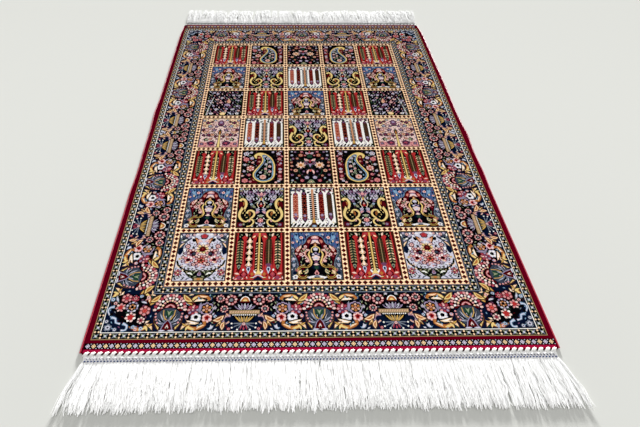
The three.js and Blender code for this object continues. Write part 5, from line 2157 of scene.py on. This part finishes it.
class RugEnd(Enum):
    """The two ends of the rug: the name and the turn about Z from the front end."""

    FRONT = ("front", 0.0)
    BACK = ("back", 180.0)

    def turn(self, points: np.ndarray) -> np.ndarray:
        """Points made for the front end, turned to this one."""
        spun = points.copy()
        spun[:, :2] = turned(points[:, :2], self.value[1])
        return spun


@dataclass(frozen=True)
class WhippedEnd:
    """The white stitches whipped over one end of the pile."""

    end: RugEnd
    edge: float = 750.0
    count: int = 70
    span: float = 1008.0
    strands: int = 3
    strand_gap: float = 2.9
    strand_radius: float = 1.6
    rounding: float = 0.11
    lean: float = 0.24
    sides: int = 6
    wander: float = 0.6
    lift: float = 0.3
    route: tuple[Point, ...] = ((5.0, 5.4), (2.6, 6.6), (-1.4, 6.8), (-4.6, 5.6), (-7.4, 3.4))
    swell: tuple[Point, ...] = ((0.0, 0.4), (0.3, 0.95), (0.75, 1.0), (1.0, 0.8))
    seed: int = 5
    finish: ThreadFinish = ThreadFinish("whip stitch", (250, 249, 246), 0.75, 0.1, 0.06)

    def build(self, groups: SharedGroups) -> bpy.types.Object:
        """Makes the row of slanting stitches, each of a few strands."""
        rng = np.random.default_rng(self.seed)
        pitch = self.span / self.count
        route = smooth(self.route, 3)
        lean = np.linspace(self.lean, -self.lean, len(route)) * pitch
        paths = []
        for k in range(self.count):
            x = -self.span / 2 + (k + 0.5) * pitch + rng.uniform(-self.wander, self.wander)
            for strand in range(self.strands):
                offset = (strand - (self.strands - 1) / 2) * self.strand_gap
                reach = 1 - self.rounding * abs(offset)
                lift = rng.uniform(-self.lift, self.lift)
                y = -self.edge + reach * route[:, 0]
                paths.append(np.column_stack((x + lean + offset, y, route[:, 1] + lift)))
        paths = np.array(paths)
        swell = np.interp(np.linspace(0, 1, len(route)), *zip(*self.swell))
        radii = np.tile(self.strand_radius * swell, (len(paths), 1))
        along = np.gradient(paths, axis=1)
        along /= np.linalg.norm(along, axis=2, keepdims=True)
        across = np.cross(UP, along)
        across /= np.linalg.norm(across, axis=2, keepdims=True)
        points, faces = tubes(paths, radii, self.sides, across, np.cross(along, across))
        name = self.end.value[0]
        shape, material = (self.end.turn(points), faces), self.finish.material(groups)
        return thread_piece(f"whip_stitches_{name}", shape, material, f"end_stitches_{name}")


@dataclass(frozen=True)
class StitchRow:
    """A row of short stitches laid along an end of the rug."""

    name: str
    inset: float
    height: float
    half: float
    radius: float
    slant: float
    shift: float
    finish: ThreadFinish


@dataclass(frozen=True)
class FringeEnd:
    """The flat-woven strip at one end and the fine warp threads that leave it."""

    end: RugEnd
    root: float = 767.6
    band_inner: float = 751.4
    band_span: float = 1000.0
    bundles: int = 146
    span: float = 990.0
    threads: int = 13
    locks: int = 4
    clump: int = 2
    band_height: float = 3.6
    # Painted shade: each clump's threads are darkened by a random share of this, standing in for the shade
    # on and between the clumps; only the back fringe sets it.
    painted_tuft_shade: float = 0.0
    sway: float = 3.0
    stray: float = 4.6
    curl: float = 2.2
    stations: int = 12
    length: float = 110.0
    loft: float = 7.4
    rise: tuple[float, ...] = (0.4, 0.7, 0.8, 0.9)
    shortfall: float = 10.0
    fan_reach: float = 22.0
    fan_sharpness: float = 14.0
    thread_radius: float = 0.6
    lock_radius: float = 1.9
    root_spread: float = 3.6
    tip_spread: float = 9.0
    lock_lead: float = 5.0
    tuck: float = 3.0
    curl_turns: float = 2.3
    floor_gap: float = 0.2
    lock_layer: float = 0.36
    thread_layers: Point = (0.25, 0.75)
    tones: Point = (0.93, 1.0)
    waves: tuple[tuple[float, float, float], ...] = ((2.0, 232.0, 0.4), (1.1, 71.0, 1.7))
    thread_sides: int = 3
    seed: int = 11
    rib_steps: int = 6
    band_rows: int = 10
    rib_height: float = 0.4
    wefts: int = 4
    band_foot: float = 0.6
    stitch_arch: float = 0.4
    stitch_taper: tuple[float, ...] = (0.35, 0.88, 1.0, 0.88, 0.35)
    stitch_sides: int = 6
    finish: ThreadFinish = ThreadFinish("fringe thread", (253, 253, 252), 0.85, 0.0, 0.04)
    band_finish: ThreadFinish = ThreadFinish("flat weave", (248, 248, 247), 0.85, 0.0, 0.08)
    rows: tuple[StitchRow, ...] = (
        StitchRow("chain", 8.0, 1.0, 2.5, 1.9, 0.6, 0.0, ThreadFinish("chain stitch", (252, 251, 252), 0.8)),
        StitchRow("grey", 5.6, 1.6, 1.5, 1.2, -2.1, 0.5, ThreadFinish("grey stitch", (70, 72, 98), 0.8)),
        StitchRow("blue", 1.2, 1.4, 2.0, 1.6, 0.7, 0.0, ThreadFinish("blue stitch", (26, 48, 112), 0.8)),
    )

    def tip_shift(self, x: np.ndarray) -> np.ndarray:
        """How far sideways a bundle's tip lies from its root, for roots at x."""
        share = x / (self.span / 2)
        bow = np.abs(share) ** self.fan_sharpness
        waves = sum(high * np.sin(2 * math.pi * x / pitch + phase) for high, pitch, phase in self.waves)
        return np.sign(x) * self.fan_reach * bow + (1 - bow) * waves

    def build(self, groups: SharedGroups) -> list[bpy.types.Object]:
        """Makes the threads, the strip and its rows of stitches."""
        pieces = [self.build_threads(groups), self.build_band(groups)]
        return pieces + [self.build_row(row, groups) for row in self.rows]

    def build_threads(self, groups: SharedGroups) -> bpy.types.Object:
        """The fine threads of the fringe over broader locks, as one joined mesh."""
        rng = np.random.default_rng(self.seed + int(self.end.value[1]))
        each = self.threads + self.locks
        count = self.bundles * each
        bundle = np.repeat(np.arange(self.bundles), each)
        lock = np.tile(np.arange(each) < self.locks, self.bundles)[:, None]
        root_x = -self.span / 2 + self.span * bundle / (self.bundles - 1)
        root_x = root_x + rng.uniform(-self.root_spread, self.root_spread, count)
        order = np.arange(self.bundles)
        tuft = np.interp(order / self.clump, order, rng.uniform(0, self.shortfall, self.bundles))
        tuft *= np.sin(math.pi * order / (self.bundles - 1)) ** 0.3
        length = self.length - tuft[bundle] - rng.uniform(0, self.tip_spread, count)
        length = length - self.lock_lead * ~lock[:, 0]
        t = np.linspace(0, 1, self.stations)[None]
        lean = rng.normal(0, self.sway, self.bundles)[bundle] + rng.normal(0, self.stray, count)
        wave = rng.uniform(0, 2 * math.pi, (self.bundles, 1))[bundle] + rng.normal(0, 1.2, (count, 1))
        turns = np.sin(wave + 2 * math.pi * self.curl_turns * t) - np.sin(wave)
        curl = rng.normal(0, self.curl, (count, 1)) * turns * t**0.7
        fan = self.tip_shift(root_x)[:, None] * np.sin(math.pi / 2 * t)
        x = root_x[:, None] + fan + lean[:, None] * t**1.4 + curl
        y = -self.root + self.tuck - (length[:, None] + self.tuck) * t
        low, spread = self.thread_layers
        layer = np.where(lock, self.lock_layer, low + spread * rng.uniform(0, 1, (count, 1)))
        rise = np.interp(t, (0, 0.1, 0.5, 1), self.rise)
        radius = np.where(lock, self.lock_radius, self.thread_radius)
        z = radius + self.floor_gap + self.loft * layer * rise
        radii = radius * np.interp(t, (0, 0.8, 1), (1, 1, 0.35))
        paths = np.stack((x, y, z), -1)
        points, faces = tubes(paths, radii, self.thread_sides, ACROSS, UP)
        name, material = self.end.value[0], self.finish.material(groups)
        piece = new_piece(f"fringe_threads_{name}", self.end.turn(points), faces, material)
        # Painted shade: the clumps are darkened at random, standing in for shade on the back fringe.
        tone = rng.uniform(*self.tones, count) - self.painted_tuft_shade * rng.uniform(0, 1, self.bundles)[bundle]
        walls = np.repeat(tone, (self.stations - 1) * self.thread_sides)
        paint(piece, "tone", np.concatenate((walls, tone, tone))[:, None] * np.ones(3))
        finish_piece(piece, f"fringe_{name}", 80.0)
        return piece

    def build_band(self, groups: SharedGroups) -> bpy.types.Object:
        """The flat-woven strip: ribs over the warp bundles, crossed by a few wefts."""
        columns, rows = self.bundles * self.rib_steps, self.band_rows
        u = np.linspace(-0.5, 0.5, columns + 1)
        v = np.linspace(0, 1, rows + 1)
        x, share = np.meshgrid(u * self.band_span, v, indexing="ij")
        crest = self.rib_height * np.cos(2 * math.pi * u * self.bundles)
        rib = crest[:, None] * np.cos(math.pi * v * self.wefts)[None]
        edge = np.minimum(1, 8 * np.minimum(share, 1 - share))
        z = self.band_foot + edge * (self.band_height + rib)
        y = -self.band_inner - share * (self.root - self.band_inner + 1.0)
        top = np.stack((x, y, z), -1).reshape(-1, 3)
        base = top * (1, 1, 0)
        index = np.arange((columns + 1) * (rows + 1)).reshape(columns + 1, rows + 1)
        quads = np.stack((index[:-1, :-1], index[:-1, 1:], index[1:, 1:], index[1:, :-1]), -1).reshape(-1, 4)
        loop = np.concatenate((index[:, 0], index[-1, 1:], index[-2::-1, -1], index[0, -2:0:-1]))
        low = len(top) + np.arange(len(loop))
        walls = np.column_stack((loop, np.roll(loop, -1), np.roll(low, -1), low))
        faces = quads.tolist() + walls.tolist() + [low.tolist()]
        name = self.end.value[0]
        shape = self.end.turn(np.vstack((top, base[loop]))), faces
        material = self.band_finish.material(groups)
        return thread_piece(f"flat_weave_{name}", shape, material, "")

    def build_row(self, row: StitchRow, groups: SharedGroups) -> bpy.types.Object:
        """One row of short stitches along the strip."""
        pitch = self.span / (self.bundles - 1)
        x = -self.span / 2 + pitch * (np.arange(self.bundles) + row.shift)
        x = x[x < self.span / 2 + 1][:, None]
        t = np.linspace(-1, 1, len(self.stitch_taper))[None]
        y = -self.root + row.inset + row.slant * t + 0 * x
        height = self.band_height + row.height
        paths = np.stack((x + row.half * t, y, height + self.stitch_arch * (1 - t**2) + 0 * x), -1)
        radii = np.tile(row.radius * np.array(self.stitch_taper), (len(x), 1))
        points, faces = tubes(paths, radii, self.stitch_sides, ALONG, UP)
        shape, material = (self.end.turn(points), faces), row.finish.material(groups)
        return thread_piece(f"{row.name}_stitch_{self.end.value[0]}", shape, material, "")


@dataclass(frozen=True)
class Studio:
    """A pale floor, soft light and the camera."""

    floor_size: float = 14.0
    floor_colour: tuple[int, int, int] = (226, 227, 222)
    floor_roughness: float = 0.9
    sky_colour: tuple[float, float, float, float] = (1.0, 1.0, 0.985, 1.0)
    camera_place: tuple[float, float, float] = (-0.0768, -1.1798, 0.9146)
    camera_turn: tuple[float, float, float] = (42.25, -0.46, -0.88)
    focal_pixels: float = 454.2
    image_width: float = 640.0
    principal_x: float = 292.2
    sensor: float = 36.0
    world_strength: float = 0.34
    lamp_place: tuple[float, float, float] = (0.0, -1.2, 2.0)
    lamp_size: float = 2.0
    lamp_power: float = 24.0
    sun_power: float = 10.0
    sun_height: float = 9.0
    sun_side: float = -8.0
    sun_softness: float = 8.0
    even_light: float = 0.86
    lamp_light: float = 0.5

    def build(self) -> None:
        """Sets up the floor, the lights and the camera."""
        self.build_floor()
        self.build_lights()
        self.build_camera()

    def build_floor(self) -> None:
        """A pale floor whose colour is painted darker under the lamp over the front (painted shade), so that
        the lamp leaves no pool of light on it.
        """
        bpy.ops.object.select_all(action="DESELECT")
        bpy.ops.mesh.primitive_plane_add(size=self.floor_size, location=(0, 0, 0))
        floor = bpy.context.object
        floor.name = "floor"
        material, kit, shader = new_material("pale floor")
        place = kit.add("TexCoord").outputs["Object"]
        away = kit.add("VectorMath")
        away.operation = "DISTANCE"
        kit.set(away, 0, place)
        kit.set(away, 1, (*self.lamp_place[:2], 0.0))
        # Painted shade: the lamp's light on the floor is worked out here, and the floor's colour is divided
        # by it, so the floor is darker where the lamp shines most.
        share = kit.math("POWER", kit.math("DIVIDE", away.outputs["Value"], self.lamp_place[2]), 2.0)
        lamp = kit.math("DIVIDE", self.lamp_light, kit.math("POWER", kit.math("ADD", share, 1.0), 2.0))
        dim = kit.math("DIVIDE", 1.0, kit.math("ADD", lamp, self.even_light))
        colour = kit.add("VectorMath")
        colour.operation = "SCALE"
        kit.set(colour, 0, tuple(to_linear(part / 255) for part in self.floor_colour))
        kit.set(colour, "Scale", dim)
        kit.set(shader, "Base Color", colour.outputs[0])
        kit.set(shader, "Roughness", self.floor_roughness)
        kit.set(shader, "Specular IOR Level", 0.0)
        floor.data.materials.append(material)

    def build_lights(self) -> None:
        """An even sky, a soft lamp over the front end and a low light from behind the rug."""
        world = bpy.context.scene.world or bpy.data.worlds.new("studio")
        bpy.context.scene.world = world
        world.use_nodes = True
        sky = world.node_tree.nodes["Background"]
        sky.inputs["Color"].default_value = self.sky_colour
        sky.inputs["Strength"].default_value = self.world_strength
        bpy.ops.object.light_add(type="AREA", location=self.lamp_place)
        light = bpy.context.object
        light.name = "front lamp"
        light.data.size = self.lamp_size
        light.data.energy = self.lamp_power
        turn = (math.radians(self.sun_height - 90), 0, math.radians(self.sun_side))
        bpy.ops.object.light_add(type="SUN", location=(0, 3, 1), rotation=turn)
        light = bpy.context.object
        light.name = "low back light"
        light.data.energy = self.sun_power
        light.data.angle = math.radians(self.sun_softness)
        bpy.context.scene.view_settings.view_transform = "Standard"

    def build_camera(self) -> None:
        """The camera at the photograph's place."""
        turn = [math.radians(angle) for angle in self.camera_turn]
        bpy.ops.object.camera_add(location=self.camera_place, rotation=turn)
        camera = bpy.context.object
        camera.name = "camera"
        camera.data.sensor_width = self.sensor
        camera.data.lens = self.focal_pixels / self.image_width * self.sensor
        camera.data.shift_x = 0.5 - self.principal_x / self.image_width
        camera.data.clip_start = 0.01
        bpy.context.scene.camera = camera


def write_sizes() -> None:
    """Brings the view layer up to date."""
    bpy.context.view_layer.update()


def main() -> None:
    """Builds the rug and its studio."""
    logging.basicConfig(level=logging.INFO, format="%(message)s")
    Studio().build()
    groups = SharedGroups()
    SilkPile().build(groups)
    for side in (-1, 1):
        WrappedCord(side).build(groups)
    WhippedEnd(RugEnd.FRONT).build(groups)
    WhippedEnd(RugEnd.BACK, edge=752.4).build(groups)
    FringeEnd(RugEnd.FRONT).build(groups)
    # The back fringe's threads carry painted shade: their clumps are darkened at random.
    back = FringeEnd(
        RugEnd.BACK, length=136.0, loft=11.0, rise=(0.9, 1.0, 0.9, 0.5), shortfall=24.0,
        fan_reach=8.0, band_height=0.9, painted_tuft_shade=0.12, sway=10.0, stray=2.8,
    )
    back.build(groups)
    write_sizes()


if __name__ == "__main__":
    main()
